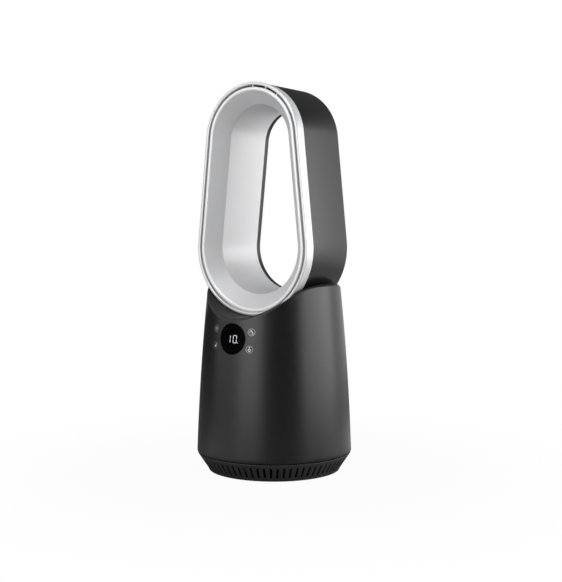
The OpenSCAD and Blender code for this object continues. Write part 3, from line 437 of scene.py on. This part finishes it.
def addPiece(name, parts, material, body, replaces=()):
    # the parts become one mesh: equal points are welded, and a quad with a doubled corner becomes a triangle
    points, quads = joinParts(parts)
    _, first, same = np.unique(
        np.round(points, meshing["decimals"]) + 0.0, axis=0, return_index=True, return_inverse=True,
    )
    points, quads = points[first] * mm, same.ravel()[quads]
    kept = quads != np.roll(quads, -1, axis=1)
    whole = kept.sum(axis=1) > 2
    quads, kept = quads[whole], kept[whole]
    corners, totals = quads[kept], kept.sum(axis=1)
    mesh = bpy.data.meshes.new(name)
    mesh.vertices.add(len(points))
    mesh.vertices.foreach_set("co", points.astype(np.float32).ravel())
    mesh.loops.add(len(corners))
    mesh.loops.foreach_set("vertex_index", corners.astype(np.int32))
    mesh.polygons.add(len(totals))
    mesh.polygons.foreach_set("loop_start", np.concatenate([[0], np.cumsum(totals)[:-1]]).astype(np.int32))
    mesh.update(calc_edges=True)
    mesh.validate()
    work = bmesh.new()
    work.from_mesh(mesh)
    bmesh.ops.recalc_face_normals(work, faces=work.faces)
    work.to_mesh(mesh)
    openEdges = sum(1 for e in work.edges if not e.is_manifold)
    work.free()
    mesh.polygons.foreach_set("use_smooth", np.ones(len(mesh.polygons), bool))
    mesh.set_sharp_from_angle(angle=math.radians(meshing["sharp"]))
    mesh.materials.append(materials[material])
    piece = bpy.data.objects.new(name, mesh)
    scene.collection.objects.link(piece)
    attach(piece, body)
    if replaces:
        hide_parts(*replaces)
    print("piece", name, len(mesh.polygons), "faces", "open edges:", openEdges)


def roundedOutline(corners, steps):
    # corners are x, y, radius: each corner becomes an arc that touches both of its sides
    c = np.array(corners, float)
    p, r = c[:, :2], c[:, 2]
    before, after = p - np.roll(p, 1, axis=0), np.roll(p, -1, axis=0) - p
    before /= np.linalg.norm(before, axis=1)[:, None]
    after /= np.linalg.norm(after, axis=1)[:, None]
    turn = np.arctan2(before[:, 0] * after[:, 1] - before[:, 1] * after[:, 0], (before * after).sum(axis=1))
    start = p - before * (r * np.tan(np.abs(turn) / 2))[:, None]
    left = np.stack([-before[:, 1], before[:, 0]], axis=1) * np.sign(turn)[:, None]
    middle = start + left * r[:, None]
    angle = turn[:, None] * np.linspace(0, 1, steps)[None, :]
    spoke = -left * r[:, None]
    x = middle[:, 0, None] + spoke[:, 0, None] * np.cos(angle) - spoke[:, 1, None] * np.sin(angle)
    y = middle[:, 1, None] + spoke[:, 0, None] * np.sin(angle) + spoke[:, 1, None] * np.cos(angle)
    return np.stack([x, y], axis=2).reshape(-1, 2)


# Tower housing; here and below lengths are in mm and angles in degrees
tower = {
    "footRadius": 110, "footHeight": 28.3, "wall": 2.6, "lean": 2, "barrel": 3500,
    "shoulder": 267.3, "softness": 8, "rimRound": 5,
    "bendHeight": 316.1, "saddleRadius": 94.1,
    "neckHole": 36.4, "bossWall": 9, "bossBottom": 214.4,
    "neckRound": 0.5, "footEdge": 0.6, "footInner": 0.3, "bossEdge": 3, "innerStep": 1.5,
    "columns": 360, "lowRows": 36, "patchRows": 28, "patchHalf": 16,
    "rimRows": 10, "saddleRows": 26, "underRows": 16,
    "displayHeight": 194, "lensHole": 21.15, "holeEdge": 0.45, "patchBottom": 170,
    "windowRows": 6, "windowEase": 0.8,  # rings of points from the window's edge to the hole, closer near the hole
}


def wallRadius(z):
    # a straight lean at the foot less one long upright curve
    up = z - tower["footHeight"]
    return tower["footRadius"] - up * math.tan(math.radians(tower["lean"])) - up**2 / (2 * tower["barrel"])


def topHeight(x):
    # the loop's lower bend, a circle of the saddle's radius, eased into flat shoulders by a soft minimum
    bend = tower["bendHeight"] - np.sqrt(np.maximum(0, tower["saddleRadius"] ** 2 - x**2))
    return tower["shoulder"] - tower["softness"] * np.log1p(np.exp((tower["shoulder"] - bend) / tower["softness"]))


def edgeHeight(a):
    # the wall ends under the rim's rounding
    return topHeight(wallRadius(tower["shoulder"]) * np.cos(a)) - tower["rimRound"]


def underHeight(x):
    # the saddle's underside: lower by the wall's thickness, measured square to the slope over one millimetre
    slope = topHeight(x + 0.5) - topHeight(x - 0.5)
    return topHeight(x) - tower["wall"] * np.sqrt(1 + slope**2)


def onWall(a, z, depth=0.0):
    # the wall's point in direction a at height z, moved inwards by depth
    r = wallRadius(z) - depth
    return np.stack([r * np.cos(a), r * np.sin(a), z + 0 * r], axis=-1)


def addHousing():
    t = tower
    columns = np.arange(t["columns"])
    angles = columns * 2 * math.pi / t["columns"]
    a = angles[:, None]
    edge = edgeHeight(a)
    wallBottom = t["footHeight"] + t["footEdge"]
    low = np.linspace(wallBottom, t["patchBottom"], t["lowRows"])[None, :] + 0 * a
    share = np.linspace(0, 1, t["patchRows"])[None, :]
    high = t["patchBottom"] + (edge - t["patchBottom"]) * share
    edgeRadius = wallRadius(edge)

    # the rim: a quarter turn of the rounding that follows the saddle, then the saddle in to the neck's hole
    roll = np.radians(np.linspace(9, 90, t["rimRows"]))[None, :]
    rimR = edgeRadius - t["rimRound"] * (1 - np.cos(roll))
    rimZ = topHeight(rimR * np.cos(a)) - t["rimRound"] * (1 - np.sin(roll))
    inward = np.linspace(0, 1, t["saddleRows"])[None, 1:]
    topR = (edgeRadius - t["rimRound"]) * (1 - inward) + (t["neckHole"] + t["neckRound"]) * inward
    topZ = topHeight(topR * np.cos(a))

    # the neck's hole with a small rounding, down to the boss, round it and back out under the saddle
    dip = np.radians(np.array([30, 60, 90]))[None, :]
    holeR = t["neckHole"] + t["neckRound"] * (1 - np.sin(dip)) + 0 * a
    holeZ = topHeight(holeR * np.cos(a)) - t["neckRound"] * (1 - np.cos(dip))
    outer = t["neckHole"] + t["bossWall"]
    bossR = np.array([t["neckHole"], t["neckHole"], outer, outer])[None, :] + 0 * a
    bottom = t["bossBottom"] + 0 * a
    bossZ = np.concatenate([bottom + t["bossEdge"], bottom, bottom, underHeight(outer * np.cos(a))], axis=1)
    back = np.linspace(0, 1, t["underRows"])[None, 1:]
    underR = outer * (1 - back) + (edgeRadius - t["wall"] - t["innerStep"]) * back
    underZ = underHeight(underR * np.cos(a))

    def ring(r, z):
        return np.stack([r * np.cos(a), r * np.sin(a), z + 0 * r], axis=-1)

    lowOuter, highOuter = onWall(a, low), onWall(a, high)
    lowInner, highInner = onWall(a, low, t["wall"]), onWall(a, high, t["wall"])
    crown = np.concatenate([
        highOuter[:, -1:], ring(rimR, rimZ), ring(topR, topZ), ring(holeR, holeZ),
        ring(bossR, bossZ), ring(underR, underZ), highInner[:, -1:],
    ], axis=1)

    # the wall's lower edge is broken outside and inside: heights above the foot, depths behind the outer skin
    footZ = np.array([0.17, 0, 0, 0.17]) + t["footHeight"]
    footDepth = np.array([0.12, t["footEdge"], t["wall"] - t["footInner"], t["wall"]])
    foot = onWall(a, footZ[None, :] + 0 * a, footDepth[None, :])
    foot = np.concatenate([lowInner[:, :1], foot[:, ::-1], lowOuter[:, :1]], axis=1)

    # the window round the display: its edge is the wall's own grid, its middle a circle; both skins follow it
    middle = t["columns"] * 3 // 4
    first, last = middle - t["patchHalf"], middle + t["patchHalf"]
    beside = np.r_[0:first + 1], np.r_[last:t["columns"], 0]
    parts = [gridPart(lowOuter, True), gridPart(lowInner, True), gridPart(crown, True), gridPart(foot, True)]
    for skin in (highOuter, highInner):
        parts += [gridPart(skin[cut]) for cut in beside]

    cols, rows = np.arange(first, last + 1), np.arange(t["patchRows"])
    sideC = np.concatenate([cols[:-1], np.full(len(rows) - 1, last), cols[:0:-1], np.full(len(rows) - 1, first)])
    sideR = np.concatenate([0 * cols[:-1], rows[:-1], 0 * cols[:0:-1] + rows[-1], rows[:0:-1]])
    frameA, frameZ = angles[sideC], high[sideC, sideR]
    front = -math.pi / 2 + 2 * math.pi
    across = (frameA - front) * wallRadius(t["displayHeight"])
    bearing = np.arctan2(frameZ - t["displayHeight"], across)

    def circle(radius, depth):
        # the hole runs straight to the front, so its points are kept by their sideways distance
        x, z = radius * np.cos(bearing), t["displayHeight"] + radius * np.sin(bearing)
        r = wallRadius(z) - depth
        return front + np.arcsin(x / r), z, np.stack([x, -np.sqrt(r**2 - x**2), z], axis=-1)

    rings = []
    edgeA, edgeZ, _ = circle(t["lensHole"] + t["holeEdge"], 0)
    share = (np.linspace(0, 1, t["windowRows"]) ** t["windowEase"])[:, None]
    rings.append(onWall(frameA + (edgeA - frameA) * share, frameZ + (edgeZ - frameZ) * share))
    for b in np.radians([22.5, 45, 67.5, 90]):
        radius, depth = t["lensHole"] + t["holeEdge"] * (1 - math.sin(b)), t["holeEdge"] * (1 - math.cos(b))
        rings.append(circle(radius, depth)[2][None])
    innerA, innerZ, _ = circle(t["lensHole"], t["wall"])
    share = share[::-1]
    rings.append(onWall(frameA + (innerA - frameA) * share, frameZ + (innerZ - frameZ) * share, t["wall"]))
    parts.append(gridPart(np.concatenate(rings), closeColumns=True))
    addPiece("towerHousing", parts, "charcoalSatin", "tower", ["housing"])


addHousing()


# Air loop: three mouldings that carry one outline each round the loop
loop = {
    "lowRadius": 87.7, "highRadius": 72.2, "lowHeight": tower["bendHeight"], "rise": 149.3,
    "lowSteps": 200, "highSteps": 150, "sideSteps": 36, "cornerSteps": 8, "collarSteps": 96,
    "shell": [  # outwards, frontwards, corner radius
        (4.8, 39.7, 0.4), (2.6, 39.7, 0.2), (1.35, -50.8, 3.8), (-21.5, -50.8, 0.4), (-21.5, -40, 0.3),
        (-22.9, -40, 0.3), (-23.1, -44.1, 0.1), (-25.4, -44.1, 0.3), (-25.4, -53, 1.3), (3.52, -53, 6),
    ],
    "band": [
        (4.8, 39.8, 0.35), (5.9, 56.8, 2.0), (1.4, 56.8, 1.3), (1.4, 47.7, 0.2), (0.9, 42.7, 0.2),
        (0.9, 35.7, 0.3), (2.5, 35.7, 0.3), (2.5, 39.8, 0.1),
    ],
    "duct": [
        (-1.3, 56.8, 1.5), (-5.4, 56.8, 1.7), (-23, 36.2, 1.6), (-25.4, -44, 0.3), (-23.2, -44, 0.3),
        (-21.35, 34.1, 1), (-3.9, 54, 0.6), (-3.6, 46, 0.4), (-1.3, 46, 0.4),
    ],
    "droop": {"middle": 283, "half": 60, "depth": 2.6, "from": 38, "to": 54},  # degrees, degrees, mm; depths in mm
    "rib": {
        "width": 1.2, "front": 55.7, "depth": 6.5, "pitch": 18.6, "reach": (-1.7, 1.3), "corners": (0.1, 0.35),
        "setBack": 4.8, "pitchAtTop": 17.1, "middle": 87.5, "proud": (87.5, 70.4, 53.3),  # degrees on the upper bend
    },
    "bar": {
        "from": 222, "to": 318, "steps": 96, "reach": (-1.4, 1.3),
        "back": 46.5, "lips": 56.8, "shallow": 0.9, "deep": 9,
    },
    "collar": {"inner": 33, "outer": 35.4, "bottom": 202.3, "top": 234.4},
}
loopLean = math.asin((loop["lowRadius"] - loop["highRadius"]) / loop["rise"])  # of its straight sides, in radians


def loopStations(lowSteps, highSteps, sideSteps):
    # direction angle, radius and centre height at every station, once round the loop from its left shoulder
    share = np.linspace(0, 1, sideSteps, endpoint=False)
    lowR, highR = loop["lowRadius"], loop["highRadius"]
    lowZ, highZ = loop["lowHeight"], loop["lowHeight"] + loop["rise"]
    angle = np.concatenate([
        np.linspace(math.pi - loopLean, 2 * math.pi + loopLean, lowSteps, endpoint=False), loopLean + 0 * share,
        np.linspace(loopLean, math.pi - loopLean, highSteps, endpoint=False), math.pi - loopLean + 0 * share,
    ])
    radius = np.concatenate([
        np.full(lowSteps, lowR), lowR + (highR - lowR) * share,
        np.full(highSteps, highR), highR + (lowR - highR) * share,
    ])
    height = np.concatenate([
        np.full(lowSteps, lowZ), lowZ + (highZ - lowZ) * share,
        np.full(highSteps, highZ), highZ + (lowZ - highZ) * share,
    ])
    return angle, radius, height


def roundLoop(corners, droop=False):
    # carries the rounded outline round the loop's stations; with droop its front moves outwards at the bottom: by
    # half of one plus the cosine of the angle from the middle, times a soft step of the depth
    outline = roundedOutline(corners, loop["cornerSteps"])
    angle, radius, height = (v[:, None] for v in loopStations(loop["lowSteps"], loop["highSteps"], loop["sideSteps"]))
    out, front = outline[:, 0][None, :], outline[:, 1][None, :]
    r = radius + out
    if droop:
        d = loop["droop"]
        turned = np.clip((np.degrees(angle) - d["middle"]) / d["half"], -1, 1)
        step = np.clip((front - d["from"]) / (d["to"] - d["from"]), 0, 1)
        r = r + d["depth"] * (1 + np.cos(turned * math.pi)) / 2 * step**2 * (3 - 2 * step)
    return gridPart(np.stack([r * np.cos(angle), -front + 0 * r, height + r * np.sin(angle)], axis=-1), True, True)


def capped(rows):
    # the first and the last row of points get a fan to their own middle, which closes the ends
    first, last = (row.mean(axis=1, keepdims=True) + 0 * row for row in (rows[:1], rows[-1:]))
    return np.concatenate([first, rows, last])


def blockPart(outline, low, high, place):
    # a block: the outline at its low and its high end; place turns (outline, end) into space
    return gridPart(capped(np.stack([place(outline, low), place(outline, high)])), closeColumns=True)


def ribParts():
    rib = loop["rib"]
    lowN = round(loop["lowRadius"] * (math.pi + 2 * loopLean) / rib["pitch"])
    sideN = round(loop["rise"] * math.cos(loopLean) / rib["pitch"])
    # stations twice as fine as the ribs: every second one is a rib's middle; those of the upper bend are
    # spaced by angle, so that three of them, which come right to the front, stand at the top
    angle, radius, height = (v[1::2] for v in loopStations(2 * lowN, 2, 2 * sideN))
    turned = np.degrees(angle)
    barred = (turned > loop["bar"]["from"]) & (turned < loop["bar"]["to"])
    side = (np.abs(radius - loop["highRadius"]) > 0.01) & ~barred
    upper = np.radians(rib["middle"] + rib["pitchAtTop"] * np.arange(-4, 5))
    angle = np.concatenate([angle[side], upper])
    radius = np.concatenate([radius[side], 0 * upper + loop["highRadius"]])
    height = np.concatenate([height[side], 0 * upper + loop["lowHeight"] + loop["rise"]])
    half = rib["width"] / 2

    def outlineAt(front):
        back, (small, large) = front - rib["depth"], rib["corners"]
        return roundedOutline([
            (-half, back, small), (half, back, small), (half, front, large), (-half, front, large),
        ], 3)

    def placer(a, r, z):
        def place(points, out):
            along, forward = points[:, 0], points[:, 1]
            x = (r + out) * math.cos(a) - along * math.sin(a)
            return np.stack([x, -forward, z + (r + out) * math.sin(a) + along * math.cos(a)], axis=-1)
        return place

    proud = [np.any(np.abs(np.degrees(a) - np.array(rib["proud"])) < 0.5) for a in angle]
    return [
        blockPart(outlineAt(rib["front"] - (0 if p else rib["setBack"])), *rib["reach"], placer(*station))
        for p, station in zip(proud, zip(angle, radius, height))
    ]


def barPart():
    # the bottom of the slot is closed by a bar: how far it stays behind the lips is least at the lowest point and
    # grows to both ends as one less the cosine
    b = loop["bar"]
    a = np.radians(np.linspace(b["from"], b["to"], b["steps"]))[:, None]
    end = math.radians(b["to"] - b["from"]) / 2
    share = (1 - np.cos((a - np.mean(a)) / end * math.pi)) / 2
    front = b["lips"] - (b["shallow"] + (b["deep"] - b["shallow"]) * share)
    out = np.array(b["reach"])[[0, 1, 1, 0]][None, :]
    y = np.concatenate([front, front, 0 * front + b["back"], 0 * front + b["back"]], axis=1)
    r = loop["lowRadius"] + out + 0 * a
    points = np.stack([r * np.cos(a), -y, loop["lowHeight"] + r * np.sin(a)], axis=-1)
    return gridPart(capped(points), closeColumns=True)


def revolve(outline, steps, close=True):
    # turns an outline of radius and height round the Z axis
    a = (np.arange(steps) * 2 * math.pi / steps)[:, None]
    r, z = outline[:, 0][None, :], outline[:, 1][None, :]
    return gridPart(np.stack([r * np.cos(a), r * np.sin(a), z + 0 * r * a], axis=-1), True, close)


def addLoop():
    c = loop["collar"]
    collar = revolve(roundedOutline([
        (c["inner"], c["bottom"], 0.4), (c["outer"], c["bottom"], 0.4),
        (c["outer"], c["top"], 0.3), (c["inner"], c["top"], 0.3),
    ], 3), loop["collarSteps"])
    shell, band, duct = roundLoop(loop["shell"]), roundLoop(loop["band"]), roundLoop(loop["duct"], droop=True)
    addPiece("loopShell", [shell, collar], "charcoalSatin", "tower", ["loop_shell"])
    addPiece("loopBand", [band], "silverPaint", "tower", ["loop_band"])
    addPiece("loopDuct", [duct, barPart(), *ribParts()], "ductSilver", "tower", ["loop_duct"])


addLoop()


# Base ring: a cone with a row of upright intake slots, each in its own patch, and a round hole at the rear
base = {
    "low": (2.5, 93.5), "high": (26.2, 109.3),  # height and radius of two points of the cone
    "wall": 2.64, "patch": (4.6, 25.4), "inner": (5, 24.6),
    "slots": 72, "slotHalf": 1.5, "slotLow": 6.5, "slotHigh": 21.5, "corner": 0.8, "edge": 0.3,
    "upRows": (-1, -0.965, -0.93, -0.8, -0.6, -0.4, -0.2, 0, 0.2, 0.4, 0.6, 0.8, 0.93, 0.965, 1),
    "foot": {"bottom": 1, "round": 4, "inner": 89.3, "top": 4, "spread": 5, "corner": 0.4, "step": 0.3},
    "brim": {"top": 27, "round": 1, "inner": 79.5, "under": 24.6, "corner": 0.4, "step": 0.3},
    "skip": 7, "gland": 11.5, "glandHole": 6.25,  # skip: degrees to each side of the rear that have no slot
    "glandFrame": (9, 10.4, 3.5),  # half width and half height of its patch, and how far its middle is above the hole
    "bosses": 6, "firstBoss": 30, "screwAt": 84,
    "bossRadius": 3.8, "bossHole": 1.5, "bossEnds": (5, 25.6), "bossCorner": 0.2,
}


def coneRadius(z):
    (z0, r0), (z1, r1) = base["low"], base["high"]
    return r0 + (z - z0) * (r1 - r0) / (z1 - z0)


def squareLoop(across, up):
    # once round a square from its lower left corner: shares across and up, each from -1 to 1
    x = np.concatenate([across[:-1], 1 + 0 * up[:-1], across[:0:-1], -1 + 0 * up[:0:-1]])
    y = np.concatenate([-1 + 0 * across[:-1], up[:-1], 1 + 0 * across[:0:-1], up[:0:-1]])
    return x, y


def ringPatch(turn, half, columns, hole):
    # one patch of the ring, a hole's two skins and its rounded edge between them; hole(x, y, grow) gives the sideways
    # place and the height of its edge, grown by grow
    x, y = squareLoop(np.linspace(-1, 1, columns + 1), np.array(base["upRows"]))

    def skin(limits, depth):
        z = (limits[0] + limits[1]) / 2 + (limits[1] - limits[0]) / 2 * y
        return (coneRadius(z) - depth) * np.sin(half * x), z

    def lift(side, z, depth):
        r = coneRadius(z) - depth
        ahead = np.sqrt(r**2 - side**2)
        c, s = math.cos(turn), math.sin(turn)
        return np.stack([ahead * c - side * s, ahead * s + side * c, z], axis=-1)

    def between(start, end, share, depth):
        return lift(*(s + (e - s) * share for s, e in zip(start, end)), depth)

    outer, inner = skin(base["patch"], 0), skin(base["inner"], base["wall"])
    grown = hole(x, y, base["edge"])
    rows = [between(outer, grown, share, 0) for share in (0, 0.35, 0.7, 1)]
    for b in np.radians([30, 60, 90]):
        edge = hole(x, y, base["edge"] * (1 - math.sin(b)))
        rows.append(lift(*edge, base["edge"] * (1 - math.cos(b))))
    edge = hole(x, y, 0)
    rows += [between(inner, edge, share, base["wall"]) for share in (1, 0.5, 0)]
    return gridPart(np.stack(rows), closeColumns=True)


def slotEdge(x, y, grow):
    # a rectangle whose corners are arcs: each point moves to its corner's arc from the nearest point of an inner box
    half, up = base["slotHalf"] + grow, (base["slotHigh"] - base["slotLow"]) / 2 + grow
    corner = base["corner"] + grow
    px, py = half * x, up * y
    cx, cy = np.clip(px, corner - half, half - corner), np.clip(py, corner - up, up - corner)
    far = np.hypot(px - cx, py - cy)
    middle = (base["slotLow"] + base["slotHigh"]) / 2
    return cx + (px - cx) / far * corner, middle + cy + (py - cy) / far * corner


def glandEdge(x, y, grow):
    # a circle, whose points stand in the directions of the patch's own edge
    width, up, above = base["glandFrame"]
    bearing = np.arctan2(up * y + above, width * x)
    r = base["glandHole"] + grow
    return r * np.cos(bearing), base["gland"] + r * np.sin(bearing)


def addBaseRing():
    half = math.pi / base["slots"]
    turns = (np.arange(base["slots"]) + 0.5) * 2 * half
    slotted = np.abs(np.degrees(turns) - 90) > base["skip"]
    parts = [ringPatch(turn, half, 8, slotEdge) for turn in turns[slotted]]
    parts.append(ringPatch(math.pi / 2, 2 * half, 16, glandEdge))

    # below the patches the foot turns in to a step, above them the brim does; both run from the outer skin's edge
    # to the inner one's
    lowZ, highZ = base["patch"]
    innerLow, innerHigh = base["inner"]
    f, b = base["foot"], base["brim"]
    foot = roundedOutline([
        (coneRadius(f["bottom"]), f["bottom"], f["round"]), (f["inner"], f["bottom"], f["corner"]),
        (f["inner"], f["top"], f["step"]), (coneRadius(lowZ) + f["spread"], lowZ, 0),
    ], 7)[:-7]
    foot = np.concatenate([[(coneRadius(lowZ), lowZ)], foot, [(coneRadius(innerLow) - base["wall"], innerLow)]])
    brim = roundedOutline([
        (coneRadius(b["top"]), b["top"], b["round"]), (b["inner"], b["top"], b["corner"]),
        (b["inner"], b["under"], b["step"]), (coneRadius(highZ), highZ, 0),
    ], 5)[:-5]
    brim = np.concatenate([[(coneRadius(highZ), highZ)], brim, [(coneRadius(innerHigh) - base["wall"], innerHigh)]])
    parts += [revolve(foot, 8 * base["slots"], False), revolve(brim, 8 * base["slots"], False)]
    (low, high), (hole, wall), corner = base["bossEnds"], (base["bossHole"], base["bossRadius"]), base["bossCorner"]
    tube = [(hole, low, corner), (wall, low, corner), (wall, high, corner), (hole, high, corner)]
    boss, quads = revolve(roundedOutline(tube, 2), 32)
    for a in np.radians(base["firstBoss"] + 360 / base["bosses"] * np.arange(base["bosses"])):
        parts.append((boss + base["screwAt"] * np.array([math.cos(a), math.sin(a), 0]), quads))
    addPiece("baseRing", parts, "charcoalRing", "base", ["base_ring"])


addBaseRing()


# Display: a smoked lens flush with the wall, two digits that shine through it and four printed touch marks
display = {
    "height": tower["displayHeight"], "radius": 21, "edge": 0.4, "thick": 2.6, "columns": 144,
    "rings": (0, 0.3, 0.55, 0.75, 0.9),  # shares of the radius at which the flat face has points
    "digitHeight": 10.6, "digitWidth": 6.1, "stroke": 0.84, "slant": 0.06, "gap": 0.2, "lift": 0.03,
    "digitThick": 0.06, "inkThick": 0.05, "barPoints": 9, "barTip": 0.08,
    "digits": {"1": (-5.0, "bc"), "0": (5.3, "abcdef")},  # sideways place of each middle, lit segments
    "dot": (9.3, 0.65), "dotHole": 0.01,  # its place and size; it is a ring with a tiny hole
    # places of the touch marks, from the display's middle
    "keys": {"power": (-30, -10.5), "swing": (-29.9, 12.6), "fan": (29.5, 10.2), "timer": (27.6, -12.8)},
}
# The print of each key, in mm from its middle: rings are place, radius and half width, and strokes are points,
# half widths and lift
marks = {
    "touchMarks": {
        "ink": "printInk",
        "rings": {
            "fan": [(0, 0, 4.7, 0.2)],
            "timer": [(0, 0, 4.7, 0.2), (0, -1.1, 1.55, 0.6), (0, 2.7, 0.5, 0.45)],
        },
        "strokes": {
            "fan": [
                ([(-0.7, 3.2), (0.4, 1.2), (1.5, -1.2), (2.5, -3.4)], (0.3, 0.7, 0.8, 0.4), 0),
                ([(-0.7, 3.2), (-1.7, 1.3), (-2.9, -1.0)], (0.3, 0.5, 0.2), 0.01),
                ([(-2.2, -2.6), (-0.8, -2.4), (0.6, -3.3)], 0.16, 0),
            ],
            "timer": [([(0, 2.2), (0, 0.9)], 0.3, 0.01)],
            "power": [([(1.0, 2.8), (0.2, 0.6), (-0.6, -1.0), (-1.0, -2.0)], (0.25, 0.65, 1.4, 1.7), 0)],
        },
    },
    "fadedMarks": {
        "ink": "fadedInk",
        "rings": {"power": [(0, 0, 4.6, 0.2)], "swing": [(0, 0, 4.6, 0.28), (0, 0, 1.6, 0.8)]},
        "strokes": {"power": [([(2.4, 2.6), (1.9, 0.6), (1.6, -1.2)], (0.25, 0.35, 0.25), 0)]},
    },
}


def frontPoint(x, z, lift):
    # the point of the tower's front wall straight behind sideways place x and height z, lifted off the wall
    r = wallRadius(z) + lift
    return np.stack([x, -np.sqrt(r**2 - x**2), z], axis=-1)


def addLens():
    # rings of points on the wall's curve: the flat face, its rounded edge, the side and the back
    d = display
    a = (np.arange(d["columns"]) * 2 * math.pi / d["columns"])[None, :]
    roll = np.radians([22.5, 45, 67.5, 90])
    flat = [share * d["radius"] for share in d["rings"]] + [d["radius"] - d["edge"]]
    radii = [flat, d["radius"] - d["edge"] * (1 - np.sin(roll)), [d["radius"], d["radius"] * 0.6, 0]]
    lifts = [np.zeros(len(flat)), -d["edge"] * (1 - np.cos(roll)), np.full(3, -d["thick"])]
    r, lift = (np.concatenate(v)[:, None] for v in (radii, lifts))
    points = frontPoint(r * np.cos(a), d["height"] + r * np.sin(a), lift + 0 * a)
    addPiece("displayLens", [gridPart(points, closeColumns=True)], "smokedLens", "tower", ["display_lens"])


def strokePart(line, widths, closed=False, thick=display["inkThick"], base=0.0):
    # a thin raised ribbon on the front wall along a line of (x, z) points with a half width at each
    line, w = np.array(line, float), np.broadcast_to(np.array(widths, float), (len(line),))[:, None]
    ahead = np.gradient(line, axis=0)
    ahead /= np.linalg.norm(ahead, axis=1)[:, None]
    side = np.stack([-ahead[:, 1], ahead[:, 0]], axis=1) * w
    left, right = line + side, line - side
    corners = ((left, base), (left, base + thick), (right, base + thick), (right, base))
    ribbon = np.stack([frontPoint(p[:, 0], p[:, 1], lift) for p, lift in corners], axis=1)
    return gridPart(ribbon, True, True) if closed else gridPart(capped(ribbon), False, True)


def bar(start, end, half):
    # a straight bar with pointed ends, as digit segments have: half its width is the distance from its nearer end,
    # up to the given half
    t = np.linspace(0, 1, display["barPoints"])
    start, end = np.array(start, float), np.array(end, float)
    reach = np.minimum(t, 1 - t) * np.linalg.norm(end - start)
    return start + (end - start) * t[:, None], np.clip(reach, display["barTip"], half)


def digitSegments():
    w, h = ((display[k] - display["stroke"]) / 2 for k in ("digitWidth", "digitHeight"))
    g = display["gap"]
    return {
        "a": ((-w + g, h), (w - g, h)), "b": ((w, h - g), (w, g)), "c": ((w, -g), (w, -h + g)),
        "d": ((-w + g, -h), (w - g, -h)), "e": ((-w, -g), (-w, -h + g)), "f": ((-w, h - g), (-w, g)),
        "g": ((-w + g, 0), (w - g, 0)),
    }


def addDigits():
    lit, dim = [], []
    for place, on in display["digits"].values():
        for name, (start, end) in digitSegments().items():
            line, widths = bar(start, end, display["stroke"] / 2)
            slanted = place + line[:, 0] + display["slant"] * line[:, 1]
            line = np.stack([slanted, display["height"] + line[:, 1]], axis=1)
            segment = strokePart(line, widths, thick=display["digitThick"], base=display["lift"])
            (lit if name in on else dim).append(segment)
    x, size = display["dot"]
    turn = np.linspace(0, 2 * math.pi, 13)[:-1]
    foot = display["height"] - display["digitHeight"] / 2 + size
    ring = np.stack([x + size / 2 * np.cos(turn), foot + size / 2 * np.sin(turn)], axis=1)
    half = size / 2 - display["dotHole"]
    lit.append(strokePart(ring, half, closed=True, thick=display["digitThick"], base=display["lift"]))
    addPiece("displayDigits", lit, "digitGlow", "tower")
    addPiece("unlitSegments", dim, "unlitBars", "tower")


def addMarks():
    turn = np.linspace(0, 2 * math.pi, 65)[:-1]
    for name, mark in marks.items():
        parts = []
        for key, (x, up) in display["keys"].items():
            z = display["height"] + up
            for cx, cz, radius, half in mark["rings"].get(key, ()):
                ring = np.stack([x + cx + radius * np.cos(turn), z + cz + radius * np.sin(turn)], axis=1)
                parts.append(strokePart(ring, half, closed=True))
            for points, half, lift in mark["strokes"].get(key, ()):
                parts.append(strokePart(np.array(points, float) + (x, z), half, base=lift))
        addPiece(name, parts, mark["ink"], "tower")


# Grommet at the rear: a rubber tube in the base ring's hole
gland = {"outer": 6.2, "inner": 4.0, "length": 9.0, "height": base["gland"], "proud": 2, "mouth": 0.9, "corner": 0.5}


def addGland():
    # the tube is turned round Z and then laid down, so that its axis points to the rear
    g = gland
    rear = coneRadius(g["height"]) + g["proud"]
    ring, quads = revolve(roundedOutline([
        (g["inner"], -g["length"], g["corner"]), (g["outer"], -g["length"], g["corner"]),
        (g["outer"], 0, g["mouth"]), (g["inner"], 0, g["mouth"]),
    ], 5), 72)
    points = np.stack([ring[:, 0], rear + ring[:, 2], g["height"] + ring[:, 1]], axis=1)
    addPiece("cordGrommet", [(points, quads)], "rubber", "base", ["cord_gland"])


addLens()
addDigits()
addMarks()
addGland()


# The nodes that stay as the CAD made them get their finishes by slot
slotFinish = {
    "charcoal_body": "charcoalSatin", "dark_plastic": "darkPlastic", "silver_band": "silverPaint",
    "light_duct": "whitePlastic", "white_plastic": "whitePlastic", "steel": "steel", "brass": "brass",
    "copper": "copperWire", "rubber": "rubber", "circuit": "circuitBoard", "lens": "smokedLens",
}
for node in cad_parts.values():
    for i, old in enumerate(node.data.materials):
        if old and old.name.split(".")[0] in slotFinish:
            node.data.materials[i] = materials[slotFinish[old.name.split(".")[0]]]
